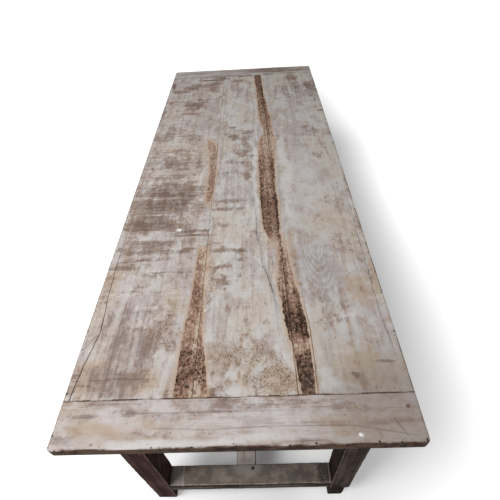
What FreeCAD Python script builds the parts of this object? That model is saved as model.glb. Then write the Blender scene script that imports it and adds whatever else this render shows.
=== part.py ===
"""A refectory table: a planked top with cross boards at its ends, on a joined and pegged frame.

Frame: +X across the table, +Y along it from front to rear, +Z up. The origin is on the floor,
under the middle of the top. All sizes are millimetres.
"""
import FreeCAD, Part
import Sketcher
import os
import re

Vector = FreeCAD.Vector

SIZES = {
    # The whole table.
    "table_length": 2000,
    "table_width": 760,
    "table_height": 760,
    # The top: three planks between two cross boards. A joint is measured from the centre line.
    "top_thickness": 30,
    "end_board_width": 100,
    "left_joint": 97,
    "right_joint_front": 133,
    "right_joint_rear": 100,
    "board_gap": 0.5,
    "rim_round": 3,
    "under_rim_bevel": 3,
    "corner_round": 8,
    # Tongues on the planks' ends, in a groove of each cross board, and their pegs.
    "tongue_length": 58,
    "tongue_thickness": 10,
    "tongue_inset": 12,
    "end_peg_diameter": 9,
    "end_peg_edge": 24,
    # Loose tongues in the joints between planks.
    "loose_tongue_width": 30,
    "loose_tongue_thickness": 8,
    "loose_tongue_stop": 60,
    # Legs. The insets are from the rim of the top to the leg's outer faces.
    "leg_section": 65,
    "leg_side_inset": 50,
    "leg_end_inset": 72,
    "leg_chamfer": 4,
    "foot_chamfer": 3,
    # Rails under the top, with their tenons and pegs.
    "rail_height": 100,
    "rail_thickness": 26,
    "rail_setback": 8,
    "rail_chamfer": 3,
    "tenon_thickness": 10,
    "tenon_shoulder": 12,
    "tenon_haunch": 25,
    "tenon_clear": 2,
    "rail_peg_diameter": 8,
    "rail_peg_past": 8,
    "rail_peg_spacing": 30,
    "rail_peg_stagger": 12,
    # End stretchers, worn hollow on top by feet.
    "stretcher_top": 146,
    "stretcher_height": 58,
    "stretcher_width": 60,
    "wear_length": 380,
    "wear_depth": 3,
    "stretcher_tenon_length": 42,
    "stretcher_tenon_thickness": 22,
    "stretcher_tenon_height": 36,
    "stretcher_peg_diameter": 10,
    "stretcher_peg_past": 10,
    # The centre stretcher, a little to the left of the middle, and its nails.
    "centre_shift": 12,
    "centre_width": 65,
    "centre_height": 50,
    "centre_chamfer": 4,
    "centre_tenon_length": 38,
    "centre_tenon_width": 55,
    "centre_tenon_height": 22,
    "nail_offset": 22,
    "nail_inset": 12,
    "nail_section": 5,
    "nail_tip": 2,
    "nail_head_width": 9,
    "nail_head_height": 2,
    "nail_sink": 0.5,
    "nail_length": 44,
    # Cross bearers under the top, housed in the side rails and nailed to the planks.
    "bearer_spacing": 290,
    "bearer_width": 50,
    "bearer_height": 45,
    "bearer_chamfer": 3,
    "bearer_nail_reach": 14,
    "housing_depth": 8,
    # Buttons that hold the top down, and their screws.
    "button_spacing": 600,
    "button_length": 42,
    "button_width": 32,
    "button_thickness": 22,
    "button_lip": 9,
    "button_lip_thickness": 10,
    "button_gap": 0.5,
    "slot_room": 2,
    "screw_diameter": 5,
    "screw_reach": 14,
    "screw_head": 2.5,
    "pilot_spare": 1,
    # Clearances of the joints and of pegs, nails and screws in their holes.
    "fit_gap": 0.2,
    "peg_gap": 0.1,
}

# Places worked out from the driving dimensions, as expressions.
UNDERSIDE = "(table_height - top_thickness)"
BOARD_END = "(table_length / 2 - end_board_width - board_gap / 2)"
LEG_OUT_X = "(table_width / 2 - leg_side_inset)"
LEG_OUT_Y = "(table_length / 2 - leg_end_inset)"
LEG_IN_X = f"({LEG_OUT_X} - leg_section)"
LEG_IN_Y = f"({LEG_OUT_Y} - leg_section)"
LEG_X = f"({LEG_OUT_X} - leg_section / 2)"
LEG_Y = f"({LEG_OUT_Y} - leg_section / 2)"
RAIL_BOTTOM = f"({UNDERSIDE} - rail_height)"
RAIL_INNER = f"({LEG_OUT_X} - rail_setback - rail_thickness)"
# A rail's middle plane and its pegs, outward from the axis of the leg.
RAIL_LINE = "(leg_section / 2 - rail_setback - rail_thickness / 2)"
TENON_LENGTH = f"(leg_section / 2 + {RAIL_LINE} - tenon_thickness / 2 - tenon_clear)"
PEG_START = f"({RAIL_LINE} - tenon_thickness / 2 - rail_peg_past)"
PEG_ASIDE = f"({TENON_LENGTH} / 2 - leg_section / 2)"
TENON_MIDDLE = "((tenon_shoulder + rail_height - tenon_haunch) / 2)"
STRETCHER_MIDDLE = "(stretcher_top - stretcher_height / 2)"
STRETCHER_PEG_ASIDE = "(stretcher_tenon_length / 2 - leg_section / 2)"
STRETCHER_PEG_END = "(stretcher_tenon_thickness / 2 + stretcher_peg_past)"
CENTRE_END = f"({LEG_Y} - stretcher_width / 2)"
CENTRE_MIDDLE = "(stretcher_top - centre_height / 2)"
NAIL_X = "(nail_offset - centre_shift)"
NAIL_TOP = "(stretcher_top - wear_depth - nail_sink)"
NAIL_Y = f"({CENTRE_END} + nail_inset)"
TOP_MIDDLE = "(top_thickness / 2)"
END_PEG_Y = f"({BOARD_END} + tongue_length / 2)"
BUTTON_X = f"({RAIL_INNER} - button_gap - button_length / 2)"
END_PEG_HOLE = "(end_peg_diameter + 2 * peg_gap)"
RAIL_PEG_HOLE = "(rail_peg_diameter + 2 * peg_gap)"
STRETCHER_PEG_HOLE = "(stretcher_peg_diameter + 2 * peg_gap)"
NAIL_HOLE = "(nail_section + 2 * peg_gap)"
NAIL_HEAD_HOLE = "(nail_head_width + 2 * peg_gap)"
SCREW_HOLE = "(screw_diameter + 2 * peg_gap)"

FRONT, REAR = -1, 1
LEFT, RIGHT = -1, 1
ENDS = {"front": FRONT, "rear": REAR}
SIDES = {"left": LEFT, "right": RIGHT}
DOWN, UP = -1, 1
# A driven peg has eight sides, and its hole has taken the same form.
PEG_SIDES = 8
TOUCH = 1e-4

doc = FreeCAD.newDocument("RefectoryTable")
sheet = doc.addObject("Spreadsheet::Sheet", "Sizes")
for row, (alias, size) in enumerate(SIZES.items(), start=1):
    sheet.set(f"A{row}", alias)
    sheet.set(f"B{row}", str(size))
    sheet.setAlias(f"B{row}", alias)
doc.recompute()
nodes = []


def bound(text):
    """An expression on the sheet's aliases, as the document reads it."""
    return re.sub(r"[a-z_]{2,}", lambda word: "Sizes." + word.group(), str(text))


def number(text):
    """What such an expression comes to."""
    return float(sheet.evalExpression(bound(text)))


def span(side, near, far):
    """The low and high end of a stretch from near to far, on one side of the middle."""
    return (near, far) if side > 0 else (f"-({far})", f"-({near})")


def spread(middle, width):
    """The low and high end of a stretch about its middle."""
    return f"({middle} - ({width}) / 2)", f"({middle} + ({width}) / 2)"


def about_z(degrees):
    """A turn about the vertical."""
    return FreeCAD.Rotation(Vector(0, 0, 1), degrees)


def place(piece, x="0", y="0", z="0", turn=FreeCAD.Rotation()):
    """Put a piece in the table's frame."""
    piece.Placement = FreeCAD.Placement(Vector(), turn)
    for axis, value in zip("xyz", (x, y, z)):
        piece.setExpression(f"Placement.Base.{axis}", bound(value))


def new_body(label, is_node=True):
    """An empty body. A node of the part is written to a file of its own."""
    body = doc.addObject("PartDesign::Body", label)
    body.Label = label
    if is_node:
        nodes.append(body)
    return body


def group(label, pieces):
    """One node that holds several separate solids."""
    compound = doc.addObject("Part::Compound", label)
    compound.Label = label
    compound.Links = pieces
    nodes.append(compound)
    return compound


# Sketches: a sketch lies square to an axis, and its corners are bound to the sheet.
PLANES = {"x": "YZ_Plane", "y": "XZ_Plane", "z": "XY_Plane"}


def new_sketch(body, axis, level):
    """An empty sketch square to an axis of the body, at that level."""
    plane = next(item for item in body.Origin.OriginFeatures if item.Role == PLANES[axis])
    sketch = body.newObject("Sketcher::SketchObject", body.Name + "_sketch")
    sketch.AttachmentSupport = [(plane, "")]
    sketch.MapMode = "FlatFace"
    # The sketch plane across Y looks towards -Y.
    sign = "-" if axis == "y" else ""
    sketch.setExpression("AttachmentOffset.Base.z", bound(f"{sign}({level})"))
    return sketch


def pin_point(sketch, line, end, across, up):
    """Bind one end of a line to a place measured from the sketch's origin."""
    for kind, value in (("DistanceX", across), ("DistanceY", up)):
        rule = Sketcher.Constraint(kind, -1, 1, line, end, number(value))
        sketch.setExpression(f"Constraints[{sketch.addConstraint(rule)}]", bound(value))


def polygon(corners):
    """A closed outline of straight sides through the corners."""

    def draw(sketch):
        first = sketch.GeometryCount
        points = [Vector(number(across), number(up), 0) for across, up in corners]
        for start, end in zip(points, points[1:] + points[:1]):
            sketch.addGeometry(Part.LineSegment(start, end), False)
        for side in range(len(corners)):
            following = first + (side + 1) % len(corners)
            sketch.addConstraint(Sketcher.Constraint("Coincident", first + side, 2, following, 1))
        for side, (across, up) in enumerate(corners):
            pin_point(sketch, first + side, 1, across, up)

    return draw


def rectangle(across, up):
    """A rectangle between two pairs of limits."""
    (left, right), (low, high) = across, up
    return polygon([(left, low), (right, low), (right, high), (left, high)])


def square(across, up, width):
    """A square about a place."""
    return rectangle(spread(across, width), spread(up, width))


def octagon(across, up, diameter):
    """An eight-sided outline about a place. It has corners on both axes."""
    corners = []
    for angle in range(0, 360, 360 // PEG_SIDES):
        right, rise = about_z(angle).multVec(Vector(0.5, 0, 0))[:2]
        corners.append((f"({across} + {right:.6f} * {diameter})", f"({up} + {rise:.6f} * {diameter})"))
    return polygon(corners)


def circle(across, up, diameter):
    """A circle about a place."""

    def draw(sketch):
        centre = Vector(number(across), number(up), 0)
        radius = number(f"({diameter}) / 2")
        ring = sketch.addGeometry(Part.Circle(centre, Vector(0, 0, 1), radius), False)
        pin_point(sketch, ring, 3, across, up)
        rule = sketch.addConstraint(Sketcher.Constraint("Radius", ring, radius))
        sketch.setExpression(f"Constraints[{rule}]", bound(f"({diameter}) / 2"))

    return draw


def hollow(length, depth, top):
    """The outline of a shallow hollow: a long arc under a straight top."""

    def draw(sketch):
        half = number(f"{length} / 2")
        level = number(top)
        left, right = Vector(-half, level, 0), Vector(half, level, 0)
        lowest = Vector(0, level - number(depth), 0)
        arc = sketch.addGeometry(Part.Arc(left, lowest, right), False)
        lid = sketch.addGeometry(Part.LineSegment(right, left), False)
        sketch.addConstraint(Sketcher.Constraint("Coincident", arc, 2, lid, 1))
        sketch.addConstraint(Sketcher.Constraint("Coincident", lid, 2, arc, 1))
        pin_point(sketch, arc, 1, f"-{length} / 2", top)
        pin_point(sketch, arc, 2, f"{length} / 2", top)
        radius = f"({length} * {length} / 4 + {depth} * {depth}) / (2 * {depth})"
        rule = sketch.addConstraint(Sketcher.Constraint("Radius", arc, number(radius)))
        sketch.setExpression(f"Constraints[{rule}]", bound(radius))

    return draw


# Features: stock is added or cut between two levels, and arrises are rounded or bevelled.


def extrude(body, kind, axis, limits, outlines):
    """Pad or pocket outlines along an axis, between a low and a high limit."""
    low, high = limits
    before = body.Shape.Volume if body.Tip else 0
    sketch = new_sketch(body, axis, high if axis == "y" else low)
    for draw in outlines:
        draw(sketch)
    feature = body.newObject(f"PartDesign::{kind}", f"{body.Name}_{kind}")
    feature.Profile = sketch
    feature.Reversed = kind == "Pocket"
    feature.setExpression("Length", bound(f"({high}) - ({low})"))
    doc.recompute()
    change = body.Shape.Volume - before
    if change == 0 or (change > 0) != (kind == "Pad"):
        raise RuntimeError(f"{feature.Name} changed the volume of {body.Label} by {change}")


def add(body, axis, limits, *outlines):
    """Add stock."""
    extrude(body, "Pad", axis, limits, outlines)


def cut(body, axis, limits, *outlines):
    """Cut stock away."""
    extrude(body, "Pocket", axis, limits, outlines)


def close_to(value, target):
    """Whether a measure agrees with an expression's value."""
    return abs(value - number(target)) < TOUCH


def lies(edge, **where):
    """Whether an edge lies wholly where the named coordinates have these values."""
    points = [vertex.Point for vertex in edge.Vertexes] + [edge.CenterOfMass]
    return all(
        close_to(getattr(point, axis), value) for point in points for axis, value in where.items()
    )


def dress(body, kind, size, picks):
    """Fillet or chamfer the edges that a test picks."""
    base = body.Tip
    names = [f"Edge{index}" for index, edge in enumerate(base.Shape.Edges, start=1) if picks(edge)]
    feature = body.newObject(f"PartDesign::{kind}", f"{body.Name}_{kind}")
    feature.Base = (base, names)
    feature.setExpression("Radius" if kind == "Fillet" else "Size", bound(size))
    doc.recompute()


def rod(name, diameter, length, direction, start):
    """A riven, eight-sided peg that runs from a starting place along a direction."""
    peg = doc.addObject("Part::Prism", name)
    peg.Polygon = PEG_SIDES
    peg.setExpression("Circumradius", bound(f"{diameter} / 2"))
    peg.setExpression("Height", bound(length))
    place(peg, *start, turn=FreeCAD.Rotation(Vector(0, 0, 1), direction))
    return peg


# The top


def right_joint(y):
    """Where the slanting joint between the middle and the right plank crosses a line y."""
    middle = "(right_joint_rear + right_joint_front) / 2"
    slant = f"(right_joint_rear - right_joint_front) / 2 / {BOARD_END}"
    return f"({middle} + {slant} * ({y}))"


def left_joint(y):
    """Where the straight joint between the left and the middle plank crosses a line y."""
    return "(-left_joint)"


def middle_of(low, high):
    """Half-way between two places."""
    return f"((({low}) + ({high})) / 2)"


def plank_middles(y):
    """The middles of the left, middle and right plank on a line y."""
    rim = "(table_width / 2)"
    return {
        "left": middle_of(f"-{rim}", left_joint(y)),
        "middle": middle_of(left_joint(y), right_joint(y)),
        "right": middle_of(right_joint(y), rim),
    }


def end_pegs(end):
    """The pegs of one cross board: one in each plank and one near each side."""
    y = f"({end} * {END_PEG_Y})"
    edge = "(table_width / 2 - end_peg_edge)"
    return [(x, y) for x in (f"-{edge}", *plank_middles(f"{end} * {BOARD_END}").values(), edge)]


def bearer_rows():
    """Where the bearers lie across the table."""
    return [f"({end} * bearer_spacing)" for end in ENDS.values()]


def button_rows():
    """Where the buttons stand along a side rail."""
    return [f"({step} * button_spacing)" for step in (-1, 0, 1)]


def loose_tongue_outline(joint, width, stop):
    """A strip along a plank joint, between two stops."""
    far = f"({BOARD_END} - ({stop}))"
    corners = []
    for y, sides in ((f"-{far}", (-1, 1)), (far, (1, -1))):
        corners += [(f"{joint(y)} + {side} * ({width}) / 2", y) for side in sides]
    return polygon(corners)


def top_board(plank, left, right):
    """One plank. left and right give its sides as functions of y, or None at the table's rim."""
    body = new_body(f"top_board_{plank}")
    place(body, z=UNDERSIDE)
    rim = "(table_width / 2)"
    thick = ("0", "top_thickness")

    def low_side(y):
        return f"({left(y)} + board_gap / 2)" if left else f"(-{rim})"

    def high_side(y):
        return f"({right(y)} - board_gap / 2)" if right else rim

    front, rear = f"-{BOARD_END}", BOARD_END
    corners = [(low_side(front), front), (high_side(front), front)]
    corners += [(high_side(rear), rear), (low_side(rear), rear)]
    add(body, "z", thick, polygon(corners))

    # Worn arrises along the table's rim.
    for side, is_rim in ((LEFT, left is None), (RIGHT, right is None)):
        if is_rim:
            x = f"{side} * {rim}"
            dress(body, "Fillet", "rim_round", lambda edge: lies(edge, x=x, z="top_thickness"))
            dress(body, "Chamfer", "under_rim_bevel", lambda edge: lies(edge, x=x, z="0"))

    # A tongue on each end, short of the rim.
    for end in ENDS.values():
        y = f"({end} * {BOARD_END})"
        across = (
            low_side(y) if left else f"{low_side(y)} + tongue_inset",
            high_side(y) if right else f"{high_side(y)} - tongue_inset",
        )
        tongue = rectangle(across, span(end, BOARD_END, f"{BOARD_END} + tongue_length"))
        add(body, "z", spread(TOP_MIDDLE, "tongue_thickness"), tongue)

    # Grooves for the loose tongues.
    level = spread(TOP_MIDDLE, "loose_tongue_thickness + 2 * fit_gap")
    for joint in (left, right):
        if joint:
            strip = ("loose_tongue_width + 2 * fit_gap", "loose_tongue_stop - fit_gap")
            cut(body, "z", level, loose_tongue_outline(joint, *strip))

    # Peg holes through the tongues, and blind holes for nails and screws from below.
    for end in ENDS.values():
        low, high = number(low_side(f"{end} * {BOARD_END}")), number(high_side(f"{end} * {BOARD_END}"))
        own = [(x, y) for x, y in end_pegs(end) if low < number(x) < high]
        cut(body, "z", thick, *[octagon(x, y, END_PEG_HOLE) for x, y in own])
    holes = [square(plank_middles(y)[plank], y, NAIL_HOLE) for y in bearer_rows()]
    cut(body, "z", ("0", "bearer_nail_reach + pilot_spare"), *holes)
    if plank in SIDES:
        x = f"({SIDES[plank]} * {BUTTON_X})"
        holes = [circle(x, y, SCREW_HOLE) for y in button_rows()]
        cut(body, "z", ("0", "screw_reach + pilot_spare"), *holes)


def breadboard_end(name, end):
    """The cross board at one end of the top, grooved for the tongues of the planks."""
    body = new_body(f"breadboard_end_{name}")
    place(body, z=UNDERSIDE)
    inner = "(table_length / 2 - end_board_width + board_gap / 2)"
    outer = "(table_length / 2)"
    half = "(table_width / 2)"
    thick = ("0", "top_thickness")
    add(body, "z", thick, rectangle((f"-{half}", half), span(end, inner, outer)))

    # Corners rounded in plan, then worn arrises on every side but the joint.
    joint, rim = f"{end} * {inner}", f"{end} * {outer}"
    for x in (f"-{half}", half):
        dress(body, "Fillet", "corner_round", lambda edge: lies(edge, x=x, y=rim))
    arrises = (("top_thickness", "Fillet", "rim_round"), ("0", "Chamfer", "under_rim_bevel"))
    for level, kind, size in arrises:
        dress(body, kind, size, lambda edge: lies(edge, z=level) and not lies(edge, y=joint))

    depth = f"{inner} + tongue_length - board_gap + fit_gap"
    reach = f"({half} - tongue_inset + fit_gap)"
    groove = rectangle((f"-{reach}", reach), span(end, inner, depth))
    cut(body, "z", spread(TOP_MIDDLE, "tongue_thickness + 2 * fit_gap"), groove)
    cut(body, "z", thick, *[octagon(x, y, END_PEG_HOLE) for x, y in end_pegs(end)])


def breadboard_pegs(name, end):
    """The pegs through one cross board, flush with both its faces."""
    up = Vector(0, 0, 1)
    pegs = []
    for x, y in end_pegs(end):
        start = (x, y, UNDERSIDE)
        pegs.append(rod(f"end_peg_{name}", "end_peg_diameter", "top_thickness", up, start))
    group(f"breadboard_pegs_{name}", pegs)


def joint_tongue(name, joint):
    """A loose tongue in the grooves of two planks."""
    body = new_body(f"joint_tongue_{name}")
    place(body, z=UNDERSIDE)
    outline = loose_tongue_outline(joint, "loose_tongue_width", "loose_tongue_stop")
    add(body, "z", spread(TOP_MIDDLE, "loose_tongue_thickness"), outline)


# The frame


def rail_peg_levels(kind):
    """Heights of a rail's two pegs over its lower edge. Side and end rails pass each other."""
    stagger = {"side": "+ rail_peg_stagger / 2", "end": "- rail_peg_stagger / 2"}[kind]
    return [f"({TENON_MIDDLE} {stagger} {step} rail_peg_spacing / 2)" for step in "-+"]


def leg(label, side, end):
    """A square leg with bevelled arrises, mortised for two rails and an end stretcher."""
    body = new_body(label)
    place(body, f"{side} * {LEG_X}", f"{end} * {LEG_Y}")
    half, flat = "(leg_section / 2)", "(leg_section / 2 - leg_chamfer)"
    corners = [(half, f"-{flat}"), (half, flat), (flat, half), (f"-{flat}", half)]
    corners += [(f"-{half}", flat), (f"-{half}", f"-{flat}"), (f"-{flat}", f"-{half}")]
    corners += [(flat, f"-{half}")]
    add(body, "z", ("0", UNDERSIDE), polygon(corners))
    dress(body, "Chamfer", "foot_chamfer", lambda edge: lies(edge, z="0"))

    # Mortises, measured outward from the leg's axis.
    inward = (f"-{half}", f"{TENON_LENGTH} + fit_gap - {half}")
    thick = spread(RAIL_LINE, "tenon_thickness + 2 * fit_gap")
    high = (f"{RAIL_BOTTOM} + tenon_shoulder - fit_gap", f"{UNDERSIDE} - tenon_haunch + fit_gap")
    cut(body, "z", high, rectangle(span(side, *inward), span(end, *thick)))
    cut(body, "z", high, rectangle(span(side, *thick), span(end, *inward)))
    low = spread(STRETCHER_MIDDLE, "stretcher_tenon_height + 2 * fit_gap")
    deep = (f"-{half}", f"stretcher_tenon_length + fit_gap - {half}")
    wide = spread("0", "stretcher_tenon_thickness + 2 * fit_gap")
    cut(body, "z", low, rectangle(span(side, *deep), wide))

    # Peg holes: from the outer faces for the rails, from the inner face for the stretcher.
    for kind, axis, through, aside in (("end", "y", end, side), ("side", "x", side, end)):
        across = f"{aside} * {PEG_ASIDE}"
        levels = [f"{RAIL_BOTTOM} + {level}" for level in rail_peg_levels(kind)]
        holes = [octagon(across, level, RAIL_PEG_HOLE) for level in levels]
        cut(body, axis, span(through, PEG_START, half), *holes)
    hole = octagon(f"{side} * {STRETCHER_PEG_ASIDE}", STRETCHER_MIDDLE, STRETCHER_PEG_HOLE)
    cut(body, "y", span(end, f"-{half}", STRETCHER_PEG_END), hole)


def rail_pegs_of_leg(name, side, end):
    """The pegs that pin an end rail and a side rail into one leg."""
    length = f"leg_section / 2 - {PEG_START}"
    ways = {
        "end": (Vector(0, end, 0), PEG_ASIDE, PEG_START),
        "side": (Vector(side, 0, 0), PEG_START, PEG_ASIDE),
    }
    pegs = []
    for kind, (way, across, along) in ways.items():
        for level in rail_peg_levels(kind):
            x, y = f"{side} * ({LEG_X} + {across})", f"{end} * ({LEG_Y} + {along})"
            start = (x, y, f"{RAIL_BOTTOM} + {level}")
            pegs.append(rod(f"{kind}_rail_peg_{name}", "rail_peg_diameter", length, way, start))
    return pegs


def stretcher_peg(name, side, end):
    """The peg that pins an end stretcher into one leg."""
    length = f"leg_section / 2 + {STRETCHER_PEG_END}"
    x = f"{side} * ({LEG_X} + {STRETCHER_PEG_ASIDE})"
    y = f"{end} * ({LEG_Y} - leg_section / 2)"
    start = (x, y, STRETCHER_MIDDLE)
    return rod(f"stretcher_peg_{name}", "stretcher_peg_diameter", length, Vector(0, end, 0), start)


def rail(label, kind, half_length, x, y, degrees):
    """A rail along its own X axis, with its inner face towards its own +Y."""
    body = new_body(label)
    place(body, x, y, RAIL_BOTTOM, about_z(degrees))
    half, flat = "(rail_thickness / 2)", "(rail_thickness / 2 - rail_chamfer)"
    corners = [(f"-{flat}", "0"), (flat, "0"), (half, "rail_chamfer"), (half, "rail_height")]
    corners += [(f"-{half}", "rail_height"), (f"-{half}", "rail_chamfer")]
    add(body, "x", (f"-{half_length}", half_length), polygon(corners))
    tenon = rectangle(spread("0", "tenon_thickness"), ("tenon_shoulder", "rail_height - tenon_haunch"))
    for side in (-1, 1):
        add(body, "x", span(side, half_length, f"{half_length} + {TENON_LENGTH}"), tenon)
    holes = []
    for side in (-1, 1):
        for level in rail_peg_levels(kind):
            along = f"{side} * ({half_length} + {TENON_LENGTH} / 2)"
            holes.append(octagon(along, level, RAIL_PEG_HOLE))
    cut(body, "y", spread("0", "tenon_thickness"), *holes)
    return body


def side_rail(name, side):
    """A side rail, with housings for the bearers and slots for the buttons in its inner face."""
    x = f"{side} * ({RAIL_INNER} + rail_thickness / 2)"
    body = rail(f"side_rail_{name}", "side", LEG_IN_Y, x, "0", side * 90)
    inner = "(rail_thickness / 2)"
    up = ("rail_height - bearer_height - fit_gap", "rail_height")
    housings = [
        rectangle(spread(f"{end} * bearer_spacing", "bearer_width + 2 * fit_gap"), up)
        for end in ENDS.values()
    ]
    cut(body, "y", (f"{inner} - housing_depth - fit_gap", inner), *housings)
    lip_top = "(rail_height - button_thickness + button_lip_thickness)"
    up = (f"{lip_top} - button_lip_thickness - slot_room", lip_top)
    slots = [rectangle(spread(y, "button_width + 2 * slot_room"), up) for y in button_rows()]
    cut(body, "y", (f"{inner} - button_lip + button_gap - fit_gap", inner), *slots)


def end_stretcher(name, end):
    """A low bar between two legs, worn hollow on top, mortised for the centre stretcher."""
    body = new_body(f"end_stretcher_{name}")
    place(body, y=f"{end} * {LEG_Y}")
    half = "(stretcher_width / 2)"
    up = ("stretcher_top - stretcher_height", "stretcher_top")
    add(body, "x", (f"-{LEG_IN_X}", LEG_IN_X), rectangle((f"-{half}", half), up))
    tenon = rectangle(
        spread("0", "stretcher_tenon_thickness"), spread(STRETCHER_MIDDLE, "stretcher_tenon_height")
    )
    for side in (LEFT, RIGHT):
        add(body, "x", span(side, LEG_IN_X, f"{LEG_IN_X} + stretcher_tenon_length"), tenon)
    cut(body, "y", (f"-{half}", half), hollow("wear_length", "wear_depth", "stretcher_top"))

    mortise = rectangle(
        spread("-centre_shift", "centre_tenon_width + 2 * fit_gap"),
        span(end, f"-{half}", f"centre_tenon_length + fit_gap - {half}"),
    )
    cut(body, "z", spread(CENTRE_MIDDLE, "centre_tenon_height + 2 * fit_gap"), mortise)
    holes = []
    for side in (LEFT, RIGHT):
        x = f"{side} * ({LEG_X} + {STRETCHER_PEG_ASIDE})"
        holes.append(octagon(x, STRETCHER_MIDDLE, STRETCHER_PEG_HOLE))
    cut(body, "y", spread("0", "stretcher_tenon_thickness"), *holes)
    spot = (NAIL_X, f"{end} * (nail_inset - {half})")
    cut(body, "z", (f"{NAIL_TOP} - nail_length", "stretcher_top"), square(*spot, NAIL_HOLE))
    cut(body, "z", (f"{NAIL_TOP} - nail_head_height", "stretcher_top"), square(*spot, NAIL_HEAD_HOLE))


def centre_stretcher():
    """The long low bar, tenoned into both end stretchers."""
    body = new_body("centre_stretcher")
    place(body, x="-centre_shift")
    half, flat = "(centre_width / 2)", "(centre_width / 2 - centre_chamfer)"
    low, high = "stretcher_top - centre_height", "stretcher_top"
    corners = [(f"-{half}", low), (half, low), (half, f"{high} - centre_chamfer"), (flat, high)]
    corners += [(f"-{flat}", high), (f"-{half}", f"{high} - centre_chamfer")]
    add(body, "y", (f"-{CENTRE_END}", CENTRE_END), polygon(corners))
    tenon = rectangle(spread("0", "centre_tenon_width"), spread(CENTRE_MIDDLE, "centre_tenon_height"))
    for end in ENDS.values():
        add(body, "y", span(end, CENTRE_END, f"{CENTRE_END} + centre_tenon_length"), tenon)
    holes = [square("nail_offset", f"{end} * {NAIL_Y}", NAIL_HOLE) for end in ENDS.values()]
    cut(body, "z", spread(CENTRE_MIDDLE, "centre_tenon_height"), *holes)


def forged_nail(name, start, length, way):
    """A square nail, tapered on two sides, that points down or up from its head."""
    body = new_body(name, is_node=False)
    place(body, *start)
    shank, tip = "nail_section / 2", "nail_tip / 2"
    neck, point = f"{way} * nail_head_height", f"{way} * ({length})"
    corners = [(f"-{shank}", neck), (f"-{tip}", point), (tip, point), (shank, neck)]
    add(body, "y", spread("0", "nail_section"), polygon(corners))
    add(body, "z", span(way, "0", "nail_head_height"), square("0", "0", "nail_head_width"))
    return body


# What holds the top down


def cross_bearer(name, end):
    """A bearer under the planks, housed in both side rails and nailed to each plank."""
    body = new_body(f"cross_bearer_{name}")
    y = f"({end} * bearer_spacing)"
    place(body, y=y, z=f"{UNDERSIDE} - bearer_height")
    half, flat = "(bearer_width / 2)", "(bearer_width / 2 - bearer_chamfer)"
    corners = [(f"-{flat}", "0"), (flat, "0"), (half, "bearer_chamfer"), (half, "bearer_height")]
    corners += [(f"-{half}", "bearer_height"), (f"-{half}", "bearer_chamfer")]
    reach = f"({RAIL_INNER} + housing_depth)"
    add(body, "x", (f"-{reach}", reach), polygon(corners))
    spots = plank_middles(y).values()
    cut(body, "z", ("0", "bearer_height"), *[square(x, "0", NAIL_HOLE) for x in spots])
    cut(body, "z", ("0", "nail_head_height"), *[square(x, "0", NAIL_HEAD_HOLE) for x in spots])


def top_button(name, side, y):
    """A wooden button, with a lip that goes into a slot of the side rail."""
    body = new_body(name, is_node=False)
    turn = about_z(0 if side == RIGHT else 180)
    place(body, f"{side} * {BUTTON_X}", y, f"{UNDERSIDE} - button_thickness", turn)
    half = "(button_length / 2)"
    nose = f"({half} + button_lip)"
    corners = [(f"-{half}", "0"), (nose, "0"), (nose, "button_lip_thickness")]
    corners += [(half, "button_lip_thickness"), (half, "button_thickness")]
    corners += [(f"-{half}", "button_thickness")]
    add(body, "y", spread("0", "button_width"), polygon(corners))
    cut(body, "z", ("0", "button_thickness"), circle("0", "0", SCREW_HOLE))

    def rims_hole(edge):
        return isinstance(edge.Curve, Part.Circle) and lies(edge, z="0")

    dress(body, "Chamfer", "screw_head", rims_hole)
    return body


def button_screw(name, side, y):
    """A blunt countersunk screw, up through a button into a plank."""
    body = new_body(name, is_node=False)
    place(body, f"{side} * {BUTTON_X}", y, f"{UNDERSIDE} - button_thickness")
    shank, head = "screw_diameter / 2", "(screw_diameter / 2 + screw_head)"
    length = "button_thickness + screw_reach"
    sketch = new_sketch(body, "y", "0")
    polygon([("0", "0"), (head, "0"), (shank, "screw_head"), (shank, length), ("0", length)])(sketch)
    turn = body.newObject("PartDesign::Revolution", f"{name}_turn")
    turn.Profile = sketch
    turn.ReferenceAxis = (sketch, ["V_Axis"])
    return body


# The whole table

top_board("left", None, left_joint)
top_board("middle", left_joint, right_joint)
top_board("right", right_joint, None)
joint_tongue("left", left_joint)
joint_tongue("right", right_joint)
for name, end in ENDS.items():
    breadboard_end(name, end)
    breadboard_pegs(name, end)

rail_pegs = []
stretcher_pegs = []
for end_name, end in ENDS.items():
    for side_name, side in SIDES.items():
        corner = f"{end_name}_{side_name}"
        leg(f"leg_{corner}", side, end)
        rail_pegs += rail_pegs_of_leg(corner, side, end)
        stretcher_pegs.append(stretcher_peg(corner, side, end))
group("rail_pegs", rail_pegs)
group("stretcher_pegs", stretcher_pegs)

for name, end in ENDS.items():
    y = f"{end} * ({LEG_Y} + {RAIL_LINE})"
    rail(f"end_rail_{name}", "end", LEG_IN_X, "0", y, 0 if end == FRONT else 180)
    end_stretcher(name, end)
    cross_bearer(name, end)
for name, side in SIDES.items():
    side_rail(name, side)
centre_stretcher()
stretcher_nails = []
for end in ENDS.values():
    start = (NAIL_X, f"{end} * {NAIL_Y}", NAIL_TOP)
    stretcher_nails.append(forged_nail("stretcher_nail", start, "nail_length", DOWN))
group("stretcher_nails", stretcher_nails)

buttons = []
button_screws = []
for name, side in SIDES.items():
    for y in button_rows():
        buttons.append(top_button(f"button_{name}", side, y))
        button_screws.append(button_screw(f"button_screw_{name}", side, y))
group("top_buttons", buttons)
group("button_screws", button_screws)
bearer_nails = []
for y in bearer_rows():
    for x in plank_middles(y).values():
        start = (x, y, f"{UNDERSIDE} - bearer_height")
        bearer_nails.append(forged_nail("bearer_nail", start, "bearer_height + bearer_nail_reach", UP))
group("bearer_nails", bearer_nails)

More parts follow.
